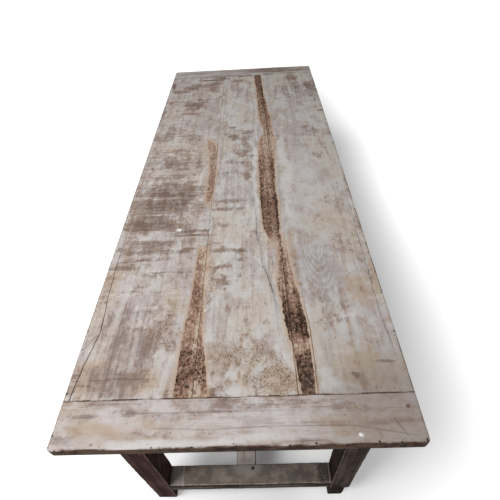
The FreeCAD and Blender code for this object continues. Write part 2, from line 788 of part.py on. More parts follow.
doc.recompute()
for item in doc.Objects:
    if {"Invalid", "Error"} & set(item.State):
        raise RuntimeError(f"{item.Label} failed: {item.State}")
for node in nodes:
    if node.Shape.isNull() or not node.Shape.isValid() or not node.Shape.Solids:
        raise RuntimeError(f"{node.Label} has no valid solid")

os.makedirs("parts", exist_ok=True)
for node in nodes:
    node.Shape.exportStep(f"parts/{node.Label}.step")
    print(node.Label, len(node.Shape.Solids), round(node.Shape.Volume))
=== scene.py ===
"""The looks of a refectory table: worn timber in place of the plain solids, on a pale floor.

Metres, in the frame of the solids: +X across the table, +Y along it to the rear, +Z up from the
floor. Places on the top that come from the photograph are listed in millimetres.
"""
import bmesh
import bpy
import math
import numpy as np
from mathutils import Matrix, Vector


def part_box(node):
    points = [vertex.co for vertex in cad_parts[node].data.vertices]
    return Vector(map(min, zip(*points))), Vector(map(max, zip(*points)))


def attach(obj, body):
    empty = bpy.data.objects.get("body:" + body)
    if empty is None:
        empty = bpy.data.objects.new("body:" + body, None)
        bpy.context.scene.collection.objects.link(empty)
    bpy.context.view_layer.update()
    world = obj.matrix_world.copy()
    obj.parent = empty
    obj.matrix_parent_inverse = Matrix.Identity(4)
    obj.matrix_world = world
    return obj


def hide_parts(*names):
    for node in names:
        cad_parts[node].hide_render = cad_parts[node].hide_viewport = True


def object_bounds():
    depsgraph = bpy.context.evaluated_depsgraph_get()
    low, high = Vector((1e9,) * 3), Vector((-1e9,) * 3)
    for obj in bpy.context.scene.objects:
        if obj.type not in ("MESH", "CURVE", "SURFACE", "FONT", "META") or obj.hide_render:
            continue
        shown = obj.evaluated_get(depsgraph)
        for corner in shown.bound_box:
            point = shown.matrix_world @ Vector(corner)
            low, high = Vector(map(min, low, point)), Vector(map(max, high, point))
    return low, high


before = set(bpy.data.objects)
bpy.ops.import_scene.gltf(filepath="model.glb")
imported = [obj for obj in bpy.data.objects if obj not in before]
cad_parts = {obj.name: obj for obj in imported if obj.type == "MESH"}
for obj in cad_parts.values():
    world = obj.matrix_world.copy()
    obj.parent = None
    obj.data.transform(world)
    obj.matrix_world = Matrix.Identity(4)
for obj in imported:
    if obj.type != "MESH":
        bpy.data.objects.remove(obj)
cad_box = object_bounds()
TOP = cad_box[1].z
MM = 0.001

# The photograph's viewpoint. The tilt is measured from straight down.
IMAGE_WIDTH = 500
FOCAL_PIXELS = 374.3
CAMERA_PLACE = (0.0634, -1.2414, 1.5509)
CAMERA_HEADING, CAMERA_TILT, CAMERA_ROLL = 2.265, 44.732, -3.808

# Worm-eaten stripes: stations along the table, each with the stripe's left and right edge and
# how dark it is there, in percent. First the right one, then the left ones at the rear and front.
STRIPES = [
    [
        (920, 66, 92, 52), (860, 67, 102, 67), (800, 68, 104, 78), (740, 74, 106, 80), (660, 76, 108, 70),
        (600, 76, 114, 60), (550, 79, 118, 76), (500, 80, 121, 62), (430, 79, 125, 50), (350, 84, 128, 45),
        (300, 98, 131, 42), (250, 100, 133, 42), (190, 80, 143, 20), (120, 73, 140, 20), (50, 69, 132, 36),
        (0, 66, 130, 52), (-90, 69, 126, 56), (-170, 70, 124, 55), (-210, 70, 127, 80), (-300, 75, 127, 72),
        (-350, 73, 129, 70), (-385, 84, 127, 54), (-425, 104, 136, 22), (-470, 112, 142, 30),
        (-540, 112, 149, 38), (-600, 106, 156, 42), (-650, 112, 161, 55), (-700, 115, 169, 95),
        (-745, 120, 172, 92), (-785, 129, 171, 25), (-825, 132, 172, 90), (-870, 136, 172, 102),
        (-920, 143, 168, 94),
    ],
    [
        (205, -138, -130, 16), (170, -136, -112, 28), (100, -127, -96, 22), (0, -119, -96, 32),
        (-100, -120, -97, 46), (-180, -120, -99, 36), (-240, -115, -100, 26),
    ],
    [
        (-445, -116, -98, 26), (-500, -120, -97, 32), (-560, -122, -96, 27), (-600, -124, -95, 44),
        (-650, -129, -94, 50), (-710, -134, -92, 44), (-770, -137, -86, 48), (-805, -138, -78, 78),
        (-850, -139, -70, 84), (-885, -140, -64, 44), (-920, -140, -60, 40),
    ],
]

# Cracks: stations along the table, each with the place across it and how open it is, in percent.
CRACKS = {
    "left": [
        [(0, -342, 0), (-80, -345, 30), (-330, -356, 40), (-450, -357, 70), (-560, -355, 80),
         (-650, -350, 90), (-730, -343, 90), (-780, -352, 100), (-820, -361, 100), (-900, -368, 100)],
    ],
    "middle": [
        [(560, 62, 0), (500, 60, 25), (200, 45, 25), (0, 42, 30), (-200, 48, 30), (-330, 55, 40),
         (-390, 53, 80), (-450, 65, 50), (-520, 70, 60), (-580, 85, 100), (-620, 95, 80),
         (-680, 101, 20), (-760, 103, 0)],
    ],
    "right": [
        [(-600, 172, 0), (-690, 174, 60), (-740, 179, 100), (-800, 177, 80), (-850, 175, 90),
         (-900, 175, 60)],
        [(-220, 367, 0), (-280, 366, 50), (-420, 361, 70), (-600, 360, 80), (-700, 356, 90),
         (-760, 362, 90), (-820, 366, 0)],
    ],
}

# Blue-grey streaks in the grain: the same, with how strong they are.
STREAKS = [
    [(560, 62, 0), (500, 60, 40), (200, 46, 50), (0, 43, 60), (-200, 48, 50), (-330, 55, 70),
     (-390, 54, 100), (-450, 64, 70), (-520, 71, 70), (-580, 86, 100), (-620, 95, 90), (-720, 104, 30),
     (-800, 108, 0)],
    [(-340, 150, 0), (-400, 153, 70), (-480, 160, 60), (-560, 166, 50), (-640, 172, 0)],
    [(-380, 183, 0), (-430, 186, 60), (-520, 184, 70), (-570, 190, 0)],
    [(900, 130, 40), (500, 136, 50), (100, 146, 40), (-200, 140, 50), (-330, 142, 0)],
    [(900, -85, 50), (500, -80, 40), (260, -84, 60), (120, -78, 30), (0, -82, 0)],
    [(-740, 200, 0), (-780, 204, 80), (-830, 210, 70), (-880, 196, 0)],
    [(-590, 234, 0), (-640, 229, 60), (-720, 225, 70), (-790, 222, 80), (-824, 222, 60), (-840, 222, 0)],
]

# Soft patches: middle across and along the table, half width, half length, strength in percent.
PATCHES = {
    "stain": [
        # The left plank, from the rear.
        (-372, 790, 12, 45, 100), (-372, 470, 10, 70, 90), (-165, 862, 55, 11, 120), (-225, 775, 62, 45, 74),
        (-312, 722, 45, 20, 60), (-140, 770, 28, 70, 66), (-112, 632, 20, 22, 60), (-225, 552, 52, 48, 70),
        (-250, 600, 95, 28, 42), (-235, 462, 40, 16, 42), (-330, 245, 40, 40, 42), (-230, 232, 60, 40, 36),
        (-250, 105, 70, 30, 40), (-262, 45, 85, 52, 50), (-160, 30, 12, 50, 50), (-280, -62, 95, 22, 40),
        (-255, -150, 110, 42, 80), (-180, -165, 30, 75, 66), (-262, -240, 115, 52, 85),
        (-285, -325, 95, 36, 95), (-190, -335, 40, 40, 62), (-155, -364, 55, 6, 85), (-155, -384, 60, 5, 85),
        (-270, -420, 85, 14, 72), (-300, -445, 80, 10, 66), (-160, -450, 40, 6, 60),
        (-262, -482, 72, 10, 52), (-330, -512, 60, 9, 52), (-240, -545, 55, 9, 48), (-300, -620, 60, 10, 40),
        (-262, -860, 60, 26, 45), (-365, -860, 14, 40, 45), (-142, -896, 8, 12, 85), (-62, -896, 6, 12, 110),
        # The middle plank.
        (15, 902, 28, 9, 120), (-95, 880, 34, 18, 85), (-20, 820, 60, 40, 40), (-40, 306, 26, 13, 66),
        (-32, 216, 28, 28, 68), (24, 262, 14, 22, 52), (20, 172, 20, 50, 62), (14, 96, 22, 26, 64),
        (-26, 22, 26, 20, 48), (26, -72, 20, 26, 56), (-66, -60, 44, 18, 42), (-32, -212, 66, 11, 54),
        (-48, -262, 48, 12, 52), (4, -262, 18, 12, 48), (-46, -340, 30, 12, 40), (-48, -448, 40, 11, 62),
        (2, -452, 18, 8, 72), (4, -500, 15, 9, 72), (-60, -526, 36, 9, 56), (-50, -580, 20, 22, 62),
        (4, -560, 10, 16, 50),
        # The right plank.
        (150, 904, 34, 8, 110), (275, 902, 24, 8, 110), (268, 842, 24, 42, 70), (282, 740, 34, 52, 55),
        (342, 702, 24, 62, 80), (348, 600, 18, 42, 60), (370, 700, 10, 80, 70), (374, 432, 6, 9, 95),
        (150, 200, 14, 40, 46), (284, 270, 26, 30, 40), (310, 60, 20, 30, 44), (292, -240, 32, 32, 34),
        (366, -362, 10, 42, 44), (250, -700, 36, 30, 30), (272, -857, 8, 8, 160), (276, -862, 24, 28, 34),
        (332, -824, 24, 5, 80),
        # The cross boards.
        (200, 962, 190, 32, 105), (-70, 912, 120, 12, 60), (257, -932, 5, 9, 90), (-15, -916, 38, 12, 66),
        (85, -925, 30, 14, 25), (180, -925, 120, 8, 25), (230, -968, 150, 5, 45), (-60, -964, 130, 4, 25),
        (150, -994, 60, 4, 110), (0, -996, 330, 3, 40),
    ],
    "mauve": [
        (-285, -690, 60, 40, 70), (-262, -770, 70, 68, 92), (-285, -855, 76, 42, 95),
        (-200, -440, 60, 30, 45), (-310, 330, 60, 60, 55), (-180, 620, 40, 50, 45), (290, 230, 40, 40, 60),
        (330, 120, 24, 40, 50), (270, -100, 50, 60, 45), (230, -640, 60, 50, 40), (-40, 700, 40, 90, 45),
        (60, -700, 30, 60, 35), (260, 690, 90, 170, 60), (-60, -925, 300, 14, 55), (200, -945, 160, 12, 60),
        (-250, 950, 120, 30, 45), (-303, -939, 18, 7, 85), (-236, -931, 24, 9, 85), (-350, -985, 30, 7, 60),
        (-352, -941, 26, 7, 60), (310, -950, 90, 42, 30),
    ],
    "pale": [
        (52, 0, 12, 330, 80), (165, -60, 16, 300, 70), (-140, -120, 8, 150, 60), (240, -130, 80, 200, 40),
        (-110, -985, 200, 8, 90), (208, -864, 22, 34, 95),
    ],
    "tan": [
        (284, -840, 52, 50, 80), (319, -616, 42, 60, 70), (372, -500, 8, 260, 85), (152, -862, 14, 60, 80),
        (150, -450, 12, 90, 70), (300, -330, 60, 50, 45), (100, -870, 40, 40, 80), (-160, -640, 22, 60, 60),
        (-20, -820, 70, 70, 40), (-345, -560, 30, 120, 50), (-330, -850, 45, 45, 95),
        (-215, -865, 40, 30, 90), (-290, -964, 64, 14, 75), (-175, -944, 16, 11, 60),
        (225, -969, 70, 12, 60), (300, -960, 90, 34, 40),
    ],
    "pepper": [
        (62, -868, 60, 28, 70), (105, -868, 24, 34, 140), (24, -800, 60, 50, 65), (92, -845, 26, 50, 80),
        (-30, -882, 52, 15, 60), (-82, -640, 9, 170, 90), (150, -560, 10, 90, 50), (-200, -750, 40, 70, 60),
    ],
}

# Pale chips on each board: middle across and along the table, and half width.
CHIPS = {
    "left": [(-192, -357, 9)], "middle": [(-85, -672, 3), (82, 590, 4)], "right": [(182, 600, 4)],
    "front": [(248, -982, 5)], "rear": [],
}

# The one dark peg in the cross boards, in metres.
DARK_PEG = (0.356, -0.929)

# A split across the corner of the front board, and pieces of two long lines in its grain: middle,
# half length and half width in metres, turn in degrees, and strength.
FRONT_LINES = [
    ((0.330, -0.968), (0.024, 0.0011), -62, 0.8),
    ((-0.118, -0.9633), (0.075, 0.0016), -2.7, 0.35),
    ((0.013, -0.9638), (0.085, 0.0016), 1.6, 0.40),
    ((0.160, -0.9630), (0.095, 0.0016), -0.8, 0.40),
    ((0.300, -0.9755), (0.070, 0.0016), -9.9, 0.35),
    ((-0.020, -0.9303), (0.190, 0.0016), 0, 0.25),
]

# Painted shade: the top is painted darker towards its right front corner. The dark end and how far the shade
# reaches, in metres.
PAINTED_SHADE_END, PAINTED_SHADE_REACH = (0.40, -0.96, TOP), (0.30, 0.24, 1)

# Rings of the grain on the right plank, in metres: their middle and spacing, and where they are
# seen and how far. The second lie round a knot.
FIGURES = [
    ((0.228, -0.455, TOP), (0.0085, 0.026, 1), (0.228, -0.54, TOP), (0.05, 0.11, 1)),
    ((0.272, -0.852, TOP), (0.022, 0.017, 1), (0.262, -0.872, TOP), (0.085, 0.036, 1)),
]

# On the front end stretcher, in metres: curved saw marks, with their centre, spacing, place and
# reach, places worn darker or paler, each with its reach and its tone, and pale lines across, each
# with its half width.
STRETCHER_TOP = (-0.897, 0.146)
SAW_CENTRE, SAW_SPACING = (0.137, -0.912, 0), (0.0085, 0.0085, 0.0085)
SAW_MARKS, SAW_REACH = (0.174, *STRETCHER_TOP), (0.036, 0.035, 0.05)
WORN_PLACES = [
    ((0.246, *STRETCHER_TOP), (0.028, 0.06, 0.05), (58, 51, 50)),
    ((-0.246, *STRETCHER_TOP), (0.028, 0.06, 0.05), (158, 150, 146)),
    ((-0.010, -0.874, 0.146), (0.060, 0.034, 0.05), (150, 141, 134)),
]
SCRIBED_LINES = ((-0.222, 0.0036), (0.262, 0.0018))

# The marks of the top that stop short of the cross boards.
PLANK_MARKS = ("char", "worm", "halo", "streak", "crack", "pit")

# Meshes: the size of a cell along a board, over stripes, elsewhere, and on the frame's timbers.
CELL_ALONG, CELL_STRIPE, CELL_WIDE, CELL_BAR = 3.2 * MM, 2.2 * MM, 6 * MM, 5 * MM
CRACK_HALF_WIDTH = 1.3 * MM
CRACK_DEPTH = 2.2 * MM
STRIPE_DEPTH = 1.6 * MM
PIT_DEPTH = 2.4 * MM
RIM_ROUND, UNDER_BEVEL, CORNER_ROUND = 3 * MM, 3 * MM, 8 * MM
RIM_REACH = 7 * MM
JOINT_ARRIS, JOINT_BEVEL = 1.2 * MM, 0.6 * MM
BOARD_GAP = 0.5 * MM
# The dirt in the seams at the cross boards, as a spot without end across and upwards, in metres.
SEAM_REACH = (50, 2.5 * MM, 50)


# Noise


LATTICE_SIZE = 256
LATTICE = np.random.default_rng(11).uniform(-1, 1, (LATTICE_SIZE, LATTICE_SIZE))


def smooth(share):
    """A soft step from 0 to 1."""
    share = np.clip(share, 0, 1)
    return share * share * (3 - 2 * share)


def lattice(column, row):
    """A fixed random number from -1 to 1 for each whole place."""
    return LATTICE[column.astype(int) % LATTICE_SIZE, row.astype(int) % LATTICE_SIZE]


def ripple(across, along, size, seed, octaves=1):
    """Smooth noise from about -1 to 1, with features of that size in millimetres."""
    total = 0
    for octave in range(octaves):
        shift = 31.7 * seed + 7.3 * octave
        cell = size * MM / 2**octave
        x, y = across / cell + shift, along / cell + 1.7 * shift
        column, row = np.floor(x), np.floor(y)
        right, up = smooth(x - column), smooth(y - row)
        low = lattice(column, row) * (1 - right) + lattice(column + 1, row) * right
        high = lattice(column, row + 1) * (1 - right) + lattice(column + 1, row + 1) * right
        total = total + (low * (1 - up) + high * up) / 2**octave
    return total


def holes(across, along, spacing, seed):
    """Round holes, one strewn in each cell: 1 in the middle of a hole, 0 outside it."""
    column, row = np.floor(across / spacing), np.floor(along / spacing)
    depth = np.zeros_like(across)
    for right in (-1, 0, 1):
        for up in (-1, 0, 1):
            c, r = column + right, row + up
            middle_x = (c + 0.5 + 0.4 * lattice(c + seed, r)) * spacing
            middle_y = (r + 0.5 + 0.4 * lattice(c, r + seed)) * spacing
            radius = spacing * (0.30 + 0.25 * lattice(c + seed, r + seed))
            distance = np.hypot(across - middle_x, along - middle_y)
            depth = np.maximum(depth, smooth(1 - distance / radius))
    return depth


# Where the boards of the top meet


CROSS_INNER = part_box("breadboard_end_rear")[0].y
PLANK_END = CROSS_INNER - BOARD_GAP
LEFT_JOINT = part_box("top_board_left")[1].x + BOARD_GAP / 2
RIGHT_JOINT_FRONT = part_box("top_board_middle")[1].x + BOARD_GAP / 2
RIGHT_JOINT_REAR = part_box("top_board_right")[0].x - BOARD_GAP / 2
HALF_WIDTH = cad_box[1].x


def right_joint(y):
    """The slanting joint between the middle and the right plank."""
    return np.interp(y, [-PLANK_END, PLANK_END], [RIGHT_JOINT_FRONT, RIGHT_JOINT_REAR])


# What has happened to the top


def between(stations, along, column):
    """A column of a list of stations, read between the stations."""
    ordered = sorted(stations)
    return np.interp(along / MM, [row[0] for row in ordered], [row[column] for row in ordered])


def strength_along(stations, along):
    """The last column of such a list, which is in percent, as a share."""
    return between(stations, along, -1) / 100


def stripe_depth(stations, x, y):
    """How far inside a stripe a place lies. It is negative outside."""
    left, right = between(stations, y, 1) * MM, between(stations, y, 2) * MM
    front, rear = min(stations)[0] * MM, max(stations)[0] * MM
    return np.minimum(np.minimum(x - left, right - x), np.minimum(y - front, rear - y) / 2)


def crack_line(stations, y):
    """Where a crack runs across the table, with the wander of the grain."""
    return between(stations, y, 1) * MM + 2 * MM * ripple(y, y, 70, 5, octaves=4)


def patches(marks, x, y):
    """The strongest of some soft round marks at each place."""
    strongest = np.zeros_like(x)
    for middle_x, middle_y, half_x, half_y, strength in marks:
        reach = np.hypot((x / MM - middle_x) / half_x, (y / MM - middle_y) / half_y)
        strongest = np.maximum(strongest, strength / 100 * smooth((1.8 - reach) / 1.5))
    return strongest


def top_fields(x, y):
    """The marks on the top at each place, as shares from 0 to 1."""
    ragged_x = x + 2.5 * MM * ripple(x, y / 5, 30, 41, octaves=3)
    ragged_x = ragged_x + 1.5 * MM * ripple(x, y, 9, 45)
    ragged_y = y + 14 * MM * ripple(x, y, 60, 42, octaves=3)
    depth, char = np.full_like(x, -1.0), np.zeros_like(x)
    for stations in STRIPES:
        inside = stripe_depth(stations, ragged_x, ragged_y)
        char = np.where(inside > depth, strength_along(stations, ragged_y), char)
        depth = np.maximum(depth, inside)
    # The right stripe is darkest along its joint, and the left ones on the left plank.
    near_joint = np.exp(-(((x - right_joint(y)) / (6 * MM)) ** 2))
    past_joint = np.interp(y / MM, [-790, -720], [0.8, 0.4])
    char = char * np.where(x > 0, 0.9, np.where(x > LEFT_JOINT, past_joint, 0.8))
    char = char + near_joint * np.interp(y / MM, [-600, -540, -220, -150], [0.08, 0.2, 0.2, 0.08])
    worm, halo = smooth(0.5 + depth / (9 * MM)), smooth(1 + depth / (18 * MM))
    fields = {"char": char, "worm": worm, "halo": halo}

    far_x = x + 12 * MM * ripple(x, y, 60, 43, octaves=4)
    far_x = far_x + 7 * MM * ripple(x, y, 17, 46, octaves=2)
    far_y = y + 12 * MM * ripple(x / 3, y, 50, 44, octaves=4)
    for name, marks in PATCHES.items():
        fields[name] = patches(marks, far_x, far_y)
    fields["streak"] = np.zeros_like(x)
    for stations in STREAKS:
        away = (ragged_x - between(stations, y, 1) * MM) / (5 * MM)
        fields["streak"] = np.maximum(fields["streak"], np.exp(-(away**2)) * strength_along(stations, y))
    fields["crack"] = np.zeros_like(x)
    for stations in sum(CRACKS.values(), []):
        near = np.clip(1 - np.abs(x - crack_line(stations, y)) / CRACK_HALF_WIDTH, 0, 1)
        fields["crack"] = np.maximum(fields["crack"], near * strength_along(stations, y))
    rotten = smooth(1.6 * char - 0.3 + ripple(x, y, 25, 4))
    fields["pit"] = holes(x, y, 9 * MM, 3) * smooth(3 * fields["worm"] - 1.6) * rotten
    return fields


def top_relief(x, y, fields):
    """How far the worn top lies under its plane."""
    wear = 0.45 * MM * (1 + ripple(x, y, 260, 1, octaves=2) * 0.6)
    plane_marks = 0.12 * MM * (1 + ripple(x / 6, y, 22, 2))
    eaten = fields["worm"] * STRIPE_DEPTH * (0.8 + 0.4 * ripple(x, y, 14, 6, octaves=2))
    relief = wear + plane_marks + eaten + fields["pit"] * PIT_DEPTH
    return relief + fields["crack"] * CRACK_DEPTH


# Meshes


def skin(name, rings, fields, material, node):
    """A closed skin over rings of points, in place of a node of the frame."""
    ring_count, point_count = rings.shape[:2]
    index = np.arange(ring_count * point_count).reshape(ring_count, point_count)
    following = np.roll(index, -1, axis=1)
    quads = np.stack([index[:-1], following[:-1], following[1:], index[1:]], axis=-1).reshape(-1, 4)
    faces = quads.tolist() + [index[0][::-1].tolist(), index[-1].tolist()]
    mesh = bpy.data.meshes.new(name)
    mesh.from_pydata(rings.reshape(-1, 3).tolist(), [], faces)
    for field, values in fields.items():
        attribute = mesh.attributes.new(field, "FLOAT", "POINT")
        attribute.data.foreach_set("value", np.ascontiguousarray(values, np.float32).ravel())
    shell = bmesh.new()
    shell.from_mesh(mesh)
    bmesh.ops.recalc_face_normals(shell, faces=shell.faces)
    shell.to_mesh(mesh)
    shell.free()
    mesh.shade_smooth()
    mesh.set_sharp_from_angle(angle=math.radians(50))
    mesh.materials.append(material)
    piece = bpy.data.objects.new(name, mesh)
    bpy.context.scene.collection.objects.link(piece)
    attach(piece, "root")
    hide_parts(node)


def columns(stops):
    """Lines evenly spaced between stops, each a line with the cell size that follows it."""
    lines = []
    for (start, cell), (end, _) in zip(stops, stops[1:]):
        count = max(1, math.ceil(np.max(end - start) / cell))
        lines += [start + (end - start) * step / count for step in range(count)]
    return lines + [stops[-1][0]]


def side_profile(edge, top, bottom, outward, is_rim, seed, along):
    """A board's side from the top down, as lines with their height and how much is top face."""
    if is_rim:
        radius = RIM_ROUND * (0.95 + 0.25 * ripple(along, along, 60, seed, octaves=3))
        bevel = UNDER_BEVEL
        angles = (22, 45, 68, 90)
    else:
        radius = JOINT_ARRIS * (0.9 + 0.3 * ripple(along, along, 40, seed, octaves=2))
        bevel = JOINT_BEVEL
        angles = (45, 90)
    lines = []
    for angle in np.radians(angles):
        line = edge - outward * radius * (1 - np.sin(angle))
        lines.append((line, top - radius * (1 - np.cos(angle)), np.cos(angle)))
    lines.append((edge, (top + bottom) / 2, 0))
    lines.append((edge, bottom + bevel, 0))
    lines.append((edge - outward * bevel, bottom, 0))
    return lines, edge - outward * radius


def rows(start, end, end_round):
    """Places along a board, with more of them on its rounded ends, and how far it falls there."""
    turn = np.radians([30, 60, 90])
    back, drop = end_round * (1 - np.sin(turn)), end_round * (1 - np.cos(turn))
    count = math.ceil((end - start - 2 * end_round) / CELL_ALONG)
    straight = np.linspace(start + end_round, end - end_round, count)
    along = np.concatenate([start + back[::-1], straight, end - back])
    return along, np.concatenate([drop[::-1], np.zeros(count), drop])


def board(node, along_and_fall, sides, rims, inner_stops, material, end=0):
    """A board of the top, made of rings along it.

    sides gives its low and high side, rims says which of them lie on the table's rim, and
    inner_stops are lines for the mesh to follow between them. end is -1 for the front cross board
    and 1 for the rear one, which lie along X.
    """
    along, fall = along_and_fall
    lowest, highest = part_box(node)
    top, bottom = highest.z - fall, lowest.z + fall / 2

    high_side, top_high = side_profile(sides[1], top, bottom, 1, rims[1], 21, along)
    low_side, top_low = side_profile(sides[0], top, bottom, -1, rims[0], 23, along)
    stops = [(top_low, CELL_WIDE), *inner_stops, (top_high, CELL_WIDE)]
    lines = [(line, top, 1) for line in columns(stops)] + high_side
    under = columns([(low_side[-1][0], 40 * MM), (high_side[-1][0], 40 * MM)])[1:-1]
    lines += [(line, bottom, 0) for line in under[::-1]] + low_side[::-1]

    across = np.stack([line for line, _, _ in lines], axis=1)
    height = np.stack([z for _, z, _ in lines], axis=1)
    is_top = np.array([share for _, _, share in lines])
    far = np.repeat(along[:, None], len(lines), axis=1)
    x, y = (far, end * across) if end else (across, far)
    fields = top_fields(x, y)
    if end:
        fields.update(dict.fromkeys(PLANK_MARKS, np.zeros_like(x)))
    fields["side"] = np.clip((highest.z - 1 * MM - height) / (1.5 * MM), 0, 1)
    height = height - is_top * top_relief(x, y, fields)
    from_rim = np.minimum(cad_box[1].x - np.abs(x), cad_box[1].y - np.abs(y))
    fields["rim"] = np.exp(-from_rim / RIM_REACH)
    is_rim = np.where(np.arange(len(lines)) < len(lines) / 2, rims[1], rims[0])
    is_arris = (is_top > 0) & (is_top < 1)
    fields["arris"] = np.broadcast_to(is_arris & is_rim, x.shape) * 1.0
    fields["joint"] = np.broadcast_to(is_arris & ~is_rim, x.shape) * 1.0
    name = f"worn_{node.partition('_')[2]}"
    skin(name, np.stack([x, y, height], axis=-1), fields, material, node)


# The corners of a timber's section, by the sign of each on both axes.
CORNERS = [(-1, -1), (1, -1), (1, 1), (-1, 1)]
# Points on a corner's arc: the angle in degrees, and how worn the arris is there.
ARC = ((0, 0.6), (30, 1.0), (60, 1.0), (90, 0.6))


def bar(node, axis, limits, arris, material, seed, shape=None):
    """A squared timber along an axis, with its arrises worn unevenly.

    limits gives its lowest and highest corner. shape, if any, moves the points further in.
    """
    low, high = (np.array(corner) for corner in limits)
    section = [(axis + 1) % 3, (axis + 2) % 3]
    half, middle = (high - low)[section] / 2, (high + low)[section] / 2
    soft_end = arris * 0.7
    count = math.ceil((high[axis] - low[axis]) / CELL_BAR)
    along = np.linspace(low[axis] + soft_end, high[axis] - soft_end, count)
    along = np.concatenate([[low[axis]], along, [high[axis]]])
    inset = np.zeros_like(along)
    inset[0] = inset[-1] = soft_end
    wander = [ripple(along, along, 45, seed + corner, octaves=3) for corner in range(4)]
    radii = [arris * (0.9 + 0.35 * wave) for wave in wander]

    def on_arc(corner, normal):
        """The lines on both axes where a corner's arc faces along a normal."""
        radius = radii[corner]
        sides = zip(CORNERS[corner], half, normal)
        return np.array([sign * (size - inset - radius) + radius * n for sign, size, n in sides])

    # Each corner is an arc, and each side a row of points from one arc to the next.
    lines, normals, edges = [], [], []
    for corner in range(4):
        for turn, worn in ARC:
            angle = math.radians(180 + 90 * corner + turn)
            normals.append((math.cos(angle), math.sin(angle)))
            lines.append(on_arc(corner, normals[-1]))
            edges.append(worn)
        start, end = (on_arc(place % 4, normals[-1]) for place in (corner, corner + 1))
        width = 2 * half[corner % 2]
        steps = math.ceil(width / CELL_BAR)
        for step in range(1, steps):
            share = step / steps
            normals.append(normals[-1])
            lines.append(start + (end - start) * share)
            edges.append(0.6 * math.exp(-min(share, 1 - share) * width / (7 * MM)))
    normal = np.zeros((len(lines), 3))
    normal[:, section] = normals
    girth = np.arange(len(lines)) * CELL_BAR
    far = np.repeat(along[:, None], len(lines), axis=1)
    dent = 0.3 * MM * (1 + ripple(far, girth[None, :], 70, seed + 9, octaves=3))
    points = -dent[..., None] * normal
    points[..., axis] = far
    points[..., section] += middle + np.moveaxis(np.stack(lines, axis=-1), 0, -1)
    end_distance = np.minimum(far - low[axis], high[axis] - far)
    fields = {
        "edge": np.tile(edges, (len(along), 1)),
        "end": np.exp(-end_distance / (14 * MM)),
        "top": np.tile(np.clip(normal[:, 2], 0, 1), (len(along), 1)),
    }
    if shape:
        shape(points, fields)
    skin(f"worn_{node}", points, fields, material, node)


# Materials


# How glossy old dry wood is, as a share of the shader's full range.
DRY_WOOD_GLOSS = 0.012
BUMP_STRENGTH = 0.7
# The angle that a wave texture turns in one unit.
WAVE_UNITS = 20
BLACK = (0, 0, 0)


def linear(colour):
    """A colour for a socket, from screen values of red, green and blue, 0 to 255."""
    return (*(((value / 255 + 0.055) / 1.055) ** 2.4 for value in colour), 1)


class Nodes:
    """A tree of shader nodes, each made and linked in one call."""

    def __init__(self, owner):
        owner.use_nodes = True
        self.tree = owner.node_tree

    def put(self, node, inputs):
        """Set or link a node's inputs."""
        for key, value in inputs.items():
            if isinstance(value, bpy.types.NodeSocket):
                self.tree.links.new(value, node.inputs[key])
            else:
                node.inputs[key].default_value = value

    def add(self, kind, inputs=None, **settings):
        """The outputs of a new shader node, with its settings made and its inputs set or linked."""
        node = self.tree.nodes.new(f"ShaderNode{kind}")
        for name, value in settings.items():
            setattr(node, name, value)
        self.put(node, inputs or {})
        return node.outputs

    def weigh(self, base, *parts):
        """A base plus values times their weights."""
        for value, weight in parts:
            inputs = {0: value, 1: weight, 2: base}
            base = self.add("Math", inputs, operation="MULTIPLY_ADD")[0]
        return base

    def seen(self):
        """1 for rays that show a thing to the camera, also by reflection, and 0 for light on others."""
        rays = self.add("LightPath")
        kinds = ("Camera", "Glossy", "Transmission")
        return self.weigh(0, *((rays[f"Is {kind} Ray"], 1) for kind in kinds))


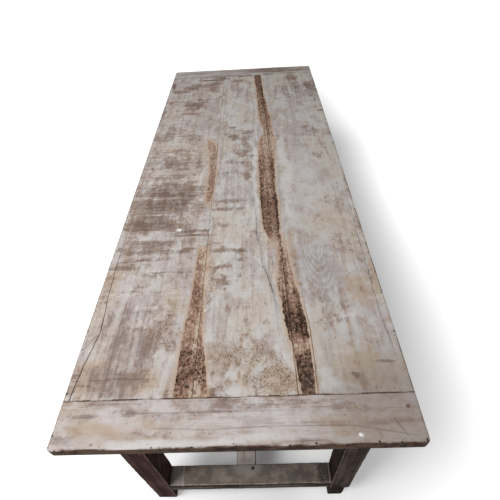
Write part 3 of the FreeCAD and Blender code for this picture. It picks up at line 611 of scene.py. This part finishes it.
class Shader(Nodes):
    """A material's nodes: values by their names, and the colour as far as it has been laid on.

    axis is the axis that the grain runs along, and seed sets its noises apart from other materials'.
    """

    def __init__(self, name, axis=2, seed=0):
        self.material = bpy.data.materials.new(name)
        super().__init__(self.material)
        self.axis, self.seed = axis, seed
        self.surface = self.tree.nodes["Principled BSDF"]
        self.put(self.surface, {"Specular IOR Level": DRY_WOOD_GLOSS})
        self.place = self.add("TexCoord")["Object"]
        self.named, self.colour = {}, None

    def __getitem__(self, name):
        """A named value, or else a field of the mesh."""
        if name not in self.named:
            self.named[name] = self.add("Attribute", attribute_name=name)["Fac"]
        return self.named[name]

    def scaled(self, per_metre, number):
        """The place in that many units to the metre: a pair, across and along the grain, or by axis."""
        if len(per_metre) == 2:
            across, along = per_metre
            per_metre = tuple(along if axis == self.axis else across for axis in range(3))
        seed = self.seed + number
        inputs = {"Vector": self.place, "Location": (seed, 1.3 * seed, 0.7 * seed), "Scale": per_metre}
        return self.add("Mapping", inputs)["Vector"]

    def noise(self, per_metre, number, detail=3, rough=0.55, swirl=0.0):
        """Noise about one half, with that many features to the metre."""
        inputs = {"Vector": self.scaled(per_metre, number), "Scale": 1, "Distortion": swirl}
        return self.add("TexNoise", {**inputs, "Detail": detail, "Roughness": rough})["Fac"]

    def specks(self, per_metre, number):
        """The distance from strewn points, in cells."""
        inputs = {"Vector": self.scaled(per_metre, number), "Scale": 1}
        return self.add("TexVoronoi", inputs)["Distance"]

    def spot(self, middle, half, turn=0):
        """The distance from a place, in half widths of a spot there, turned by some degrees."""
        turned = (0, 0, math.radians(turn))
        inputs = {"Vector": self.place, "Location": middle, "Rotation": turned, "Scale": half}
        moved = self.add("Mapping", inputs, vector_type="TEXTURE")["Vector"]
        return self.add("VectorMath", {0: moved}, operation="LENGTH")["Value"]

    def rings(self, middle, spacing, wobble):
        """Rings round an upright line, from 0 to 1 and back, with a spacing for each axis."""
        per_metre = tuple(math.tau / WAVE_UNITS / value for value in spacing)
        offset = tuple(-place * value for place, value in zip(middle, per_metre))
        inputs = {"Vector": self.place, "Location": offset, "Scale": per_metre}
        moved = self.add("Mapping", inputs)["Vector"]
        inputs = {"Vector": moved, "Scale": 1, "Distortion": wobble}
        return self.add("TexWave", inputs, wave_type="RINGS", rings_direction="Z")["Fac"]

    def times(self, first, second):
        """A product."""
        return self.add("Math", {0: first, 1: second}, operation="MULTIPLY")[0]

    def step(self, value, low, high):
        """A soft step from 0 to 1 between two values."""
        inputs = {"Value": value, "From Min": low, "From Max": high}
        return self.add("MapRange", inputs, interpolation_type="SMOOTHSTEP")["Result"]

    def sum(self, base, *parts, **weights):
        """A base plus values times their weights, with fields and noises by their names."""
        return self.weigh(base, *parts, *((self[name], weight) for name, weight in weights.items()))

    def rise(self, low, high, *parts, base=0, **weights):
        """A soft step of such a sum."""
        return self.step(self.sum(base, *parts, **weights), low, high)

    def tint(self, share, under, over):
        """One colour laid over another, each a value of the shader or a triple of screen values."""
        under, over = (linear(c) if isinstance(c, tuple) else c for c in (under, over))
        return self.add("Mix", {0: share, 6: under, 7: over}, data_type="RGBA")[2]

    def lay(self, *shares_and_colour):
        """Lay a colour over what is there, at the product of the shares before it."""
        share, *others, over = shares_and_colour
        for other in others:
            share = self.times(share, other)
        self.colour = self.tint(share, self.colour, over)

    def finish(self, height, depth, roughness):
        """Link the colour, the relief and the roughness, and give the material."""
        inputs = {"Height": height, "Distance": depth, "Strength": BUMP_STRENGTH}
        normal = self.add("Bump", inputs)["Normal"]
        self.put(self.surface, {"Base Color": self.colour, "Normal": normal, "Roughness": roughness})
        return self.material


def scrape_run(axis, across, along):
    """Units to the metre, by axis, across and along marks on the top that cross its grain."""
    return (along, across, 30) if axis == 1 else (across, along, 30)


def lay_ground(s, cool, cream, hatch):
    """Bleached ground: cool and cream, mauve drifts, tan grain, pale scrapes and grey-brown flecks."""
    s.colour = s.tint(s.rise(0.44, 0.56, clouds=0.5, drift=0.5), cool, cream)
    s.lay(s.rise(0.20, 0.34, clouds=-0.5, drift=0.7, grain=0.3), 0.55, (160, 146, 145))
    s.lay(s.rise(0.50, 0.64, grain=0.6, mottle=0.4), 0.6, (166, 148, 130))
    s.lay(s.rise(0.46, 0.36, mottle=0.5, scrapes=0.5), 0.3 + 0.3 * hatch, (208, 204, 200))
    s.lay(s.rise(0.53, 0.66, speckle=0.5, mottle=0.5), 0.6, (138, 121, 110))
    s.lay(s.rise(0.56, 0.74, fibres=1), 0.25 + 0.2 * hatch, (136, 121, 112))
    s.lay(s.rise(0.44, 0.28, fibres=1), 0.3 * hatch, (212, 207, 203))


def lay_washes(s):
    """Grey streaks and rings of the grain, then tan, mauve, peppered and pale patches."""
    s.lay(s["streak"], 0.5, (134, 132, 134))
    for middle, spacing, place, reach in FIGURES:
        s.lay(s.rings(middle, spacing, 2), s.step(s.spot(place, reach), 1.3, 0.5), 0.4, (132, 130, 136))
    s.lay(s.rise(0.1, 0.9, base=-0.6, tan=1, drift=0.7, mottle=0.5), 0.6, (172, 149, 122))
    bloom = s.sum(-1.75, mauve=1, grain=1, drift=1.2, mottle=1)
    s.lay(s.step(bloom, 0.05, 0.85), 0.7, (146, 131, 127))
    brushed = s.rise(0.35, 0.95, (bloom, 1), base=-1.9, grain=1.6, speckle=1.4, fibres=0.8)
    s.lay(brushed, 0.5, (112, 97, 92))
    peppered = s.rise(0.10, 0.90, base=-1.6, pepper=1, mottle=1.8, drift=1.4)
    s.lay(peppered, 0.3, (156, 130, 108))
    s.lay(s.rise(0.47, 0.60, grit=1), peppered, 0.9, (104, 80, 64))
    s.lay(s.rise(0.15, 0.75, base=-0.9, pale=1, grain=1, mottle=0.8), 0.6, (206, 204, 204))


def lay_stains(s, hatch, crisp):
    """Brown stains, broken up by the scrape marks and the grain, and small dark pores."""
    base = -1.4 - hatch / 2 - crisp / 2
    worn = s.sum(base, stain=1, scrapes=hatch, grain=0.5, mottle=1.4, drift=1, speckle=crisp)
    s.lay(s.step(worn, 0.16, 0.66), 0.4 + 0.4 * crisp, (134, 115, 104))
    s.lay(s.step(worn, 0.66, 1.06), 0.4 + 0.2 * crisp, (92, 73, 62))
    s.lay(s.rise(0.54, 0.66, kerfs=1), s.step(worn, -0.1, 0.5), 0.4 * hatch, (98, 80, 70))
    s.lay(s.rise(0.13, 0.06, pores=1), s.rise(0.46, 0.60, drift=1), 0.8, (84, 68, 58))


def lay_worm(s):
    """Stripes with a tan border, red-brown to nearly black and full of small holes."""
    s.lay(s.rise(0.30, 0.95, base=-1, halo=1, mottle=1, grain=1), 0.65, (184, 158, 133))
    eaten = s.named["eaten"] = s.rise(0.34, 0.60, base=-1.1, worm=1, grain=1.2, speckle=1)
    burnt = s.sum(-2.25, char=1, speckle=2, mottle=1.1, grain=1.4)
    rotten = s.tint(s.step(burnt, 0.00, 0.40), (184, 167, 150), (151, 121, 104))
    rotten = s.tint(s.step(burnt, 0.36, 0.70), rotten, (110, 83, 70))
    rotten = s.tint(s.step(burnt, 0.68, 1.04), rotten, (40, 28, 23))
    s.lay(eaten, 0.95, rotten)
    riddled = s.times(eaten, s.rise(0.28, 0.60, base=-0.5, char=1, mottle=1))
    bored = s.named["bored"] = s.times(s.rise(0.40, 0.18, bores=1), riddled)
    s.lay(bored, (38, 26, 20))
    s.lay(s["pit"], 0.9, (30, 20, 16))
    s.lay(s.rise(0.15, 0.07, crumbs=1), eaten, s.rise(0.44, 0.56, drift=1), (196, 184, 172))


def lay_painted_shade(s, noise):
    """Painted shade: a darker colour laid towards the right front corner of the top."""
    away = s.weigh(-0.2, (s.spot(PAINTED_SHADE_END, PAINTED_SHADE_REACH), 1), (s[noise], 0.4))
    s.lay(s.step(away, 1.1, 0.3), 0.6, (126, 113, 104))


def lay_damage(s, name):
    """Cracks, pale chips, the open seams at the cross boards and lines in the front one."""
    s.lay(s["crack"], s.rise(0.25, 0.60, mottle=1), (74, 63, 58))
    for x, y, half in CHIPS[name]:
        away = s.spot((x * MM, y * MM, TOP), (half * MM, half * MM, 10 * MM))
        s.lay(s.rise(1.0, 0.85, (away, 1), base=-1.2, flakes=2.6), (226, 223, 221))
    for end in (-PLANK_END, PLANK_END):
        seam = s.step(s.spot((0, end, 0), SEAM_REACH), 1.2, 0.3)
        s.lay(seam, s.rise(0.38, 0.56, drift=1), (90, 74, 66))
    for middle, reach, turn, strength in FRONT_LINES if name == "front" else ():
        away = s.spot((*middle, TOP), (*reach, 1), turn)
        s.lay(s.rise(1.2, 0.6, (away, 1), base=-0.6, mottle=1.2), strength, (92, 82, 78))


def lay_edges(s):
    """Dirty and rubbed rims with small holes, dark joints and darker sides."""
    s.lay(s.rise(0.50, 0.90, rim=1), s.rise(0.40, 0.52, drift=1), 0.75, (108, 88, 74))
    s.lay(s.rise(0.45, 0.65, base=-0.5, arris=1, mottle=1), 0.4, (178, 158, 140))
    nicked = s.named["nicked"] = s.times(s.rise(0.26, 0.12, nicks=1), s.rise(0.25, 0.55, rim=1))
    s.lay(nicked, (46, 36, 30))
    s.lay(s["joint"], s.rise(0.42, 0.58, drift=1), (74, 60, 52))
    shade = s.rise(0.42, 0.58, mottle=0.5, clouds=0.5)
    s.lay(s["side"], s.tint(shade, (46, 31, 25), (100, 80, 66)))


def scrubbed_wood(name, axis, cool, cream, seed, hatch, crisp=1.0):
    """A scrubbed and bleached board, with stains, scrape marks, worm and cracks.

    cool and cream are the two ground colours. hatch says how much of the staining follows the
    scrape marks across the grain, and crisp how broken and dark its edges are.
    """
    s = Shader(f"scrubbed_{name}", axis, seed)
    s.named.update(
        fibres=s.noise((300, 7), 0),
        grain=s.noise((62, 3), 1, detail=4, rough=0.62, swirl=0.7),
        scrapes=s.noise(scrape_run(axis, 85, 10), 2, detail=4, rough=0.68),
        clouds=s.noise((8, 5), 3, detail=5, rough=0.6, swirl=0.4),
        mottle=s.noise((60, 45), 4, detail=5, rough=0.68, swirl=0.4),
        speckle=s.noise((150, 95), 5, detail=4, rough=0.72),
        bores=s.specks((150, 105), 6),
        drift=s.noise((22, 13), 7, detail=5, rough=0.66, swirl=0.4),
        nicks=s.specks((85, 85), 9),
        pores=s.specks((62, 40, 40), 10),
        flakes=s.noise((260, 260), 11, detail=2),
        crumbs=s.specks((120, 75), 12),
        grit=s.noise((330, 240), 13, rough=0.75),
        kerfs=s.noise(scrape_run(axis, 240, 12), 15, detail=2),
    )
    lay_ground(s, cool, cream, hatch)
    lay_washes(s)
    lay_stains(s, hatch, crisp)
    lay_worm(s)
    # Painted shade towards the right front corner, on the front board and the right plank.
    if name in ("front", "right"):
        lay_painted_shade(s, "drift")
    lay_damage(s, name)
    lay_edges(s)
    crumbly = s.times(s["speckle"], s["eaten"])
    height = s.sum(0, (crumbly, 1.4), fibres=0.25, scrapes=0.3, mottle=0.3, nicked=-0.6, bored=-1.2)
    return s.finish(height, 0.7 * MM, s.sum(0.42, clouds=0.2, mottle=0.15, eaten=0.25))


def dark_timber(name, axis, body, worn, seed, dust=0.3):
    """Old dark stain over a timber, worn pale along its arrises, scuffed and dusty."""
    s = Shader(name, axis, seed)
    s.named.update(
        fibres=s.noise((300, 10), 0),
        streaks=s.noise((55, 2.5), 1, detail=4, swirl=0.4),
        mottle=s.noise((55, 55, 40), 2, detail=5, rough=0.68, swirl=0.5),
        clouds=s.noise((12, 12, 9), 3, detail=4),
    )
    s.colour = s.tint(s.rise(0.40, 0.60, streaks=0.5, clouds=0.5), s.tint(0.6, body, BLACK), body)
    scuffed = s.rise(0.44, 0.64, mottle=0.3, streaks=0.4, clouds=0.3)
    s.lay(scuffed, dust, s.tint(0.4, body, worn))
    s.lay(s.rise(0.62, 0.95, base=-0.8, edge=1, mottle=0.8, streaks=0.5, end=0.2), 0.85, worn)
    # Painted shade on a leg's faces under the table, and the black of the broken foot.
    s.lay(s["soot"], s.rise(0.20, 0.60, mottle=1), (30, 22, 21))
    height = s.sum(0, fibres=0.35, mottle=0.4, streaks=0.3)
    return s.finish(height, 0.6 * MM, s.sum(0.50, mottle=0.25, clouds=0.15))


def worn_stretcher(name, axis, top, side, seed, bruising):
    """A low bar that feet have worn grey on top, with dark sides and saw marks at one end."""
    s = Shader(name, axis, seed)
    s.named.update(
        fibres=s.noise((300, 10), 0),
        grain=s.noise((60, 5), 1, detail=4, swirl=0.8),
        mottle=s.noise((70, 70), 2, detail=5, rough=0.7, swirl=0.6),
        clouds=s.noise((18, 18), 3, detail=4, rough=0.6),
        specks=s.specks((110, 110), 4),
    )
    bruised = s.tint(bruising, top, BLACK)
    s.colour = s.tint(s.rise(0.62, 0.42, clouds=0.75, mottle=0.25), top, bruised)
    s.lay(s.rise(0.52, 0.66, grain=0.6, clouds=0.4), 0.5, (104, 86, 70))
    s.lay(s.rise(0.53, 0.66, mottle=0.6, fibres=0.4), 0.3, (164, 154, 147))
    sawn = s.step(s.spot(SAW_MARKS, SAW_REACH), 1.2, 0.6)
    s.lay(s.rings(SAW_CENTRE, SAW_SPACING, 1.5), sawn, 0.5, (62, 50, 42))
    for middle, reach, shade in WORN_PLACES:
        s.lay(s.rise(1.1, 0.5, (s.spot(middle, reach), 1), base=-0.4, mottle=0.8), 0.75, shade)
    rubbed = s.rise(0.45, 0.85, base=-0.45, top=1, mottle=0.5, grain=0.4)
    streaked = s.tint(s.rise(0.42, 0.62, mottle=0.3, grain=0.7), side, bruised)
    s.colour = s.tint(rubbed, streaked, s.colour)
    lines = [s.spot((place, *STRETCHER_TOP), (half, 0.5, 0.01)) for place, half in SCRIBED_LINES]
    scribed = [(s.step(away, 1.4, 0.6), 1.1) for away in lines]
    wear = s.rise(0.62, 0.95, *scribed, base=-0.85, edge=1, mottle=1.2, fibres=0.3)
    s.lay(wear, 0.8, (172, 158, 148))
    # Painted shade along the end stretchers' inner arris and on the centre stretcher's sides.
    s.lay(s["soot"], 0.9, (34, 26, 22))
    s.lay(s.rise(0.18, 0.08, specks=1), s.rise(0.48, 0.60, clouds=1), 0.7, (206, 200, 194))
    return s.finish(s.sum(0, fibres=0.35, mottle=0.5, grain=0.3), 0.7 * MM, s.sum(0.50, mottle=0.25))


def plain_wood(name, axis, body, seed):
    """Unfinished wood with sawn grain."""
    s = Shader(name, axis, seed)
    s.named.update(
        fibres=s.noise((500, 14), 0),
        streaks=s.noise((70, 3), 1),
        mottle=s.noise((60, 60), 2, detail=4, rough=0.6),
    )
    s.colour = s.tint(s.rise(0.36, 0.64, streaks=0.6, mottle=0.4), s.tint(0.4, body, BLACK), body)
    return s.finish(s.sum(0, fibres=0.6, mottle=0.4), 0.5 * MM, s.sum(0.55, mottle=0.3))


def peg_tops():
    """Peg ends worn down to the colour of the boards, one of them darker, with painted shade towards the
    right front corner.
    """
    s = Shader("top_peg_wood")
    s.named["fibres"] = s.noise((420, 420, 40), 134)
    s.named["mottle"] = s.noise((160, 160), 136, detail=4, rough=0.6)
    s.colour = s.tint(s.rise(0.36, 0.64, mottle=1), (150, 134, 122), (186, 174, 166))
    # Painted shade towards the right front corner of the top.
    lay_painted_shade(s, "mottle")
    dark_one = s.step(s.spot((*DARK_PEG, TOP), (12 * MM, 12 * MM, 1)), 1.2, 0.8)
    s.lay(dark_one, 0.8, (104, 76, 60))
    return s.finish(s.sum(0, fibres=0.6, mottle=0.4), 0.5 * MM, s.sum(0.55, mottle=0.3))


def rusted_iron(name):
    """Dark iron with rust in patches."""
    s = Shader(name)
    s.put(s.surface, {"Metallic": 0.6, "Specular IOR Level": 0.5})
    rust = s.named["rust"] = s.noise((400, 400), 3, detail=5, rough=0.7)
    s.named["blotches"] = s.noise((120, 120), 4)
    s.colour = s.tint(s.rise(0.44, 0.60, rust=0.6, blotches=0.4), (38, 33, 31), (72, 48, 37))
    return s.finish(rust, 0.3 * MM, s.sum(0.45, rust=0.4))


# The top


def crack_stops(plank, y, cell):
    """The lips and the bottom of each crack of a plank, as stops for its mesh."""
    found = []
    for stations in CRACKS[plank]:
        line = crack_line(stations, y)
        found += [(line - CRACK_HALF_WIDTH, 1), (line, 1), (line + CRACK_HALF_WIDTH, cell)]
    return found


plank_rows = rows(-PLANK_END, PLANK_END, JOINT_ARRIS)
plank_y = plank_rows[0]
straight = np.zeros_like(plank_y)
# Each plank's sides, which of them are rims, the stops for its mesh, and its wood.
PLANKS = {
    "left": (
        (straight - HALF_WIDTH, straight + LEFT_JOINT - BOARD_GAP / 2), (True, False),
        [*crack_stops("left", plank_y, CELL_WIDE), (straight - 150 * MM, CELL_STRIPE)],
        scrubbed_wood("left", 1, (188, 181, 178), (184, 172, 161), 3, 1.3, 0.85),
    ),
    "middle": (
        (straight + LEFT_JOINT + BOARD_GAP / 2, right_joint(plank_y) - BOARD_GAP / 2), (False, False),
        [(straight - 55 * MM, CELL_WIDE), *crack_stops("middle", plank_y, CELL_STRIPE)],
        scrubbed_wood("middle", 1, (192, 189, 187), (190, 180, 170), 14, 0.7),
    ),
    "right": (
        (right_joint(plank_y) + BOARD_GAP / 2, straight + HALF_WIDTH), (False, True),
        crack_stops("right", plank_y, CELL_WIDE),
        scrubbed_wood("right", 1, (186, 183, 182), (184, 175, 166), 25, 0.2),
    ),
}
for plank, (sides, rims, stops, wood) in PLANKS.items():
    board(f"top_board_{plank}", plank_rows, sides, rims, stops, wood)

# The cross boards lie along X, and their outer corners are rounded in plan.
cross_rows = rows(-HALF_WIDTH, HALF_WIDTH, RIM_ROUND)
into_corner = np.clip(np.abs(cross_rows[0]) - (HALF_WIDTH - CORNER_ROUND), 0, CORNER_ROUND)
outer = cad_box[1].y - CORNER_ROUND + np.sqrt(CORNER_ROUND**2 - into_corner**2)
inner = np.full_like(outer, CROSS_INNER)
CROSS_BOARDS = {
    "front": (-1, (190, 183, 182), (180, 168, 158)),
    "rear": (1, (184, 183, 183), (178, 171, 164)),
}
for name, (end, cool, cream) in CROSS_BOARDS.items():
    wood = scrubbed_wood(name, 0, cool, cream, 40 + end, 0.0, 0.3)
    stops = [(inner + 50 * MM, CELL_WIDE)]
    board(f"breadboard_end_{name}", cross_rows, (inner, outer), (False, True), stops, wood, end)


# The frame


LEG_WORN, RAIL_BODY = (146, 128, 118), (74, 54, 46)
# Each side's legs: the colour of the body and how dusty it is.
LEG_LOOKS = {"left": ((76, 51, 48), 0.45), "right": ((62, 50, 46), 0.55)}
LEG_ARRIS, RAIL_ARRIS, END_BAR_ARRIS, LONG_BAR_ARRIS = 4 * MM, 3 * MM, 3.5 * MM, 4 * MM
leg_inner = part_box("leg_front_left")[1]
# Half the clear width and length between the legs.
CLEAR_X, CLEAR_Y = -leg_inner.x, -leg_inner.y
# How far round an arris the painted shade of a leg's inner faces reaches.
DARK_SKIN = 1.5 * MM
# Rails and stretchers run a little into the legs, whose faces are worn.
SHOULDER = 1 * MM
# The broken foot, in millimetres: how high and deep the bite is, and how high it is black.
BITE_HEIGHT, BITE_DEPTH, BLACK_HEIGHT = 100, 12, 125


def dark_inside(points, fields):
    """Painted shade: a leg's two faces that look under the table are painted near-black."""
    inside_x = smooth((DARK_SKIN + CLEAR_X - np.abs(points[..., 0])) / DARK_SKIN)
    inside_y = smooth((DARK_SKIN + CLEAR_Y - np.abs(points[..., 1])) / DARK_SKIN)
    fields["soot"] = np.maximum(inside_x, inside_y)


def chewed_foot(points, fields):
    """The same, with the outer corner of the foot broken, gnawed and black."""
    dark_inside(points, fields)
    low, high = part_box("leg_front_right")
    x, y, z = np.moveaxis(points, -1, 0)
    away = np.hypot(x - high.x, y - low.y)
    rough = ripple(z, x + y, 38, 31, octaves=2)
    height = z / MM
    bite = smooth((BITE_HEIGHT - height) / 30) * smooth((height + 8) / 16) * (BITE_DEPTH + 7 * rough) * MM
    depth = np.clip(bite - away * 0.45, 0, None)
    x -= depth
    y += depth
    fields["edge"] = fields["edge"] * smooth(1 - depth / (3 * MM))
    black = smooth((BLACK_HEIGHT - height + 30 * rough) / 60)
    fields["soot"] = np.maximum(fields["soot"], 0.9 * black)


def clipped(node, axis, limit):
    """A node's box without its tenons: cut off at that distance from the middle, on an axis."""
    low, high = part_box(node)
    low[axis], high[axis] = -limit, limit
    return low, high


for end in ("front", "rear"):
    for side in ("left", "right"):
        node = f"leg_{end}_{side}"
        seed = 50 + 7 * len(node) + (end == "rear") * 3
        body, dust = LEG_LOOKS[side]
        timber = dark_timber(f"dark_{node}", 2, body, LEG_WORN, seed, dust)
        shape = chewed_foot if node == "leg_front_right" else dark_inside
        bar(node, 2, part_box(node), LEG_ARRIS, timber, seed, shape)

RAILS = (
    ("end_rail", ("front", "rear"), 0, CLEAR_X, 90),
    ("side_rail", ("left", "right"), 1, CLEAR_Y, 96),
)
for kind, places, axis, clear, seed in RAILS:
    for place in places:
        node = f"{kind}_{place}"
        timber = dark_timber(f"dark_{node}", axis, RAIL_BODY, LEG_WORN, seed + len(place))
        bar(node, axis, clipped(node, axis, clear + SHOULDER), RAIL_ARRIS, timber, seed + 1)

WEAR_LENGTH, WEAR_DEPTH = 380 * MM, 3 * MM
NAIL_HEAD, NAIL_DINT = 9 * MM, 2 * MM
# How far the painted shade on the stretchers' inner arrises and sides reaches.
DARK_ARRIS = 3.5 * MM
nail_low, nail_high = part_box("stretcher_nails")
NAIL_X, NAIL_Y = (nail_low.x + nail_high.x) / 2, nail_high.y - NAIL_HEAD / 2


def blacken(fields, inside):
    """Painted shade in place of wear, where a place lies inside the shaded strip."""
    fields["soot"] = smooth(inside / DARK_ARRIS)
    fields["edge"] = fields["edge"] * (1 - fields["soot"])


def foot_worn(points, fields):
    """The hollow that feet have worn in an end stretcher's top, the dint round its nail, and painted shade
    along its inner arris.
    """
    x, y, z = np.moveaxis(points, -1, 0)
    sag = np.clip(1 - (2 * x / WEAR_LENGTH) ** 2, 0, 1) * WEAR_DEPTH
    dint = smooth(2 - np.hypot(x - NAIL_X, np.abs(y) - NAIL_Y) / NAIL_HEAD * 2) * NAIL_DINT
    upper_half = smooth((z - z.min()) / (z.max() - z.min()) * 2 - 1)
    z -= (sag + dint * fields["top"]) * upper_half
    blacken(fields, np.abs(y).min() + DARK_ARRIS - np.abs(y))


def dark_sides(points, fields):
    """Painted shade: both sides of the centre stretcher, painted dark up to its worn top."""
    x = points[..., 0]
    blacken(fields, DARK_ARRIS - np.minimum(x - x.min(), x.max() - x))


for end in ("front", "rear"):
    node = f"end_stretcher_{end}"
    seed = 110 + len(end)
    timber = worn_stretcher(f"worn_wood_{node}", 0, (143, 131, 123), (36, 26, 22), seed, 0.45)
    limits = clipped(node, 0, CLEAR_X + SHOULDER)
    bar(node, 0, limits, END_BAR_ARRIS, timber, 111, foot_worn)
# The centre stretcher's top is worn paler than the end stretchers', and painted paler still as light against
# the shade under the table top.
timber = worn_stretcher("worn_wood_centre", 1, (218, 206, 199), (40, 31, 27), 120, 0.25)
limits = clipped("centre_stretcher", 1, -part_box("end_stretcher_front")[1].y + SHOULDER)
bar("centre_stretcher", 1, limits, LONG_BAR_ARRIS, timber, 121, dark_sides)

# Pieces that keep the shape of their solids: the first word found in a node's name decides.
FINISHES = {
    "breadboard_pegs": peg_tops(),
    "pegs": plain_wood("peg_wood", 2, (78, 57, 46), 130),
    "nails": rusted_iron("rusted_iron"),
}
FINISHES["screws"] = FINISHES["nails"]
RAW_WOOD = plain_wood("raw_wood", 0, (150, 124, 98), 140)
for node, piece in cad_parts.items():
    finish = next((finish for word, finish in FINISHES.items() if word in node), RAW_WOOD)
    piece.data.materials.clear()
    piece.data.materials.append(finish)


# The stage


FLOOR_SIZE = 60
# Soft ellipses in the floor's glow, each with its middle and half size: full glow clear of the table,
# painted shadows to the rear right and beside the centre stretcher, and a painted pool of light between the
# legs.
CLEAR_OF_TABLE = (0.06, -0.19, 0), (1.08, 1.6, 1)
PAINTED_CAST_SHADOW = (0.3, 1.4, 0), (0.72, 2.0, 1)
PAINTED_LIGHT_BETWEEN_LEGS = (0.24, -0.66, 0), (0.17, 0.36, 1)
PAINTED_SHADOW_BESIDE_BAR = (-0.06, -0.80, 0), (0.15, 0.08, 1)
# The soft light from all round, and a lamp: where it is and faces, its size and its power.
AMBIENT = 0.34
KEY_PLACE, KEY_TARGET, KEY_SIZE, KEY_POWER = (-1.7, -1.5, 3.4), (0.0, -0.3, 0.6), 1.4, 100


def floor_material():
    """White to the camera where the light is full and far from the table, and grey in its shadow, with
    painted shadows and a painted pool of light in the glow near the table.
    """
    s = Shader("pale_floor")
    s.put(s.surface, {"Base Color": (0.82, 0.82, 0.82, 1), "Roughness": 0.9})
    far = s.step(s.spot(*CLEAR_OF_TABLE), 0.27, 1.09)
    # Painted shadow: less glow to the rear right of the table.
    cast = s.step(s.spot(*PAINTED_CAST_SHADOW), 1.1, 0.35)
    # Painted light: more glow on the floor between the legs.
    painted_light_between_legs = s.step(s.spot(*PAINTED_LIGHT_BETWEEN_LEGS), 1.1, 0.1)
    # Painted shadow: less glow beside the centre stretcher.
    painted_shadow_beside_bar = s.step(s.spot(*PAINTED_SHADOW_BESIDE_BAR), 1.3, 0.7)
    strength = s.weigh(0.07, (s.times(far, s.weigh(1, (cast, -0.95))), 0.75), (painted_light_between_legs, 0.32))
    strength = s.times(strength, s.weigh(1, (painted_shadow_beside_bar, -0.8)))
    glow = s.add("Emission", {"Strength": s.times(s.seen(), strength)})[0]
    both = s.add("AddShader", {0: s.surface.outputs[0], 1: glow})[0]
    s.put(s.tree.nodes["Material Output"], {"Surface": both})
    return s.material


def studio_world():
    """White to the camera and in reflections, and a plain soft light on everything else."""
    world = bpy.data.worlds.new("studio")
    sky = Nodes(world)
    strength = sky.weigh(AMBIENT, (sky.seen(), 1 - AMBIENT))
    sky.put(sky.tree.nodes["Background"], {"Color": (1, 1, 1, 1), "Strength": strength})
    return world


bpy.ops.mesh.primitive_plane_add(size=FLOOR_SIZE)
floor = bpy.context.object
floor.name = "floor"
floor.data.materials.append(floor_material())

scene = bpy.context.scene
scene.view_settings.view_transform = "Standard"
scene.world = studio_world()

key_light = bpy.data.lights.new("key", "AREA")
key_light.size, key_light.energy = KEY_SIZE, KEY_POWER
lamp = bpy.data.objects.new("key", key_light)
scene.collection.objects.link(lamp)
lamp.location = KEY_PLACE
lamp.rotation_euler = (Vector(KEY_TARGET) - Vector(KEY_PLACE)).to_track_quat("-Z", "Y").to_euler()

camera = bpy.data.objects.new("camera", bpy.data.cameras.new("camera"))
scene.collection.objects.link(camera)
scene.camera = camera
camera.data.lens = FOCAL_PIXELS * camera.data.sensor_width / IMAGE_WIDTH
aim = Matrix.Translation(CAMERA_PLACE)
for axis, degrees in (("Z", CAMERA_HEADING), ("X", CAMERA_TILT), ("Z", CAMERA_ROLL)):
    aim = aim @ Matrix.Rotation(math.radians(degrees), 4, axis)
camera.matrix_world = aim
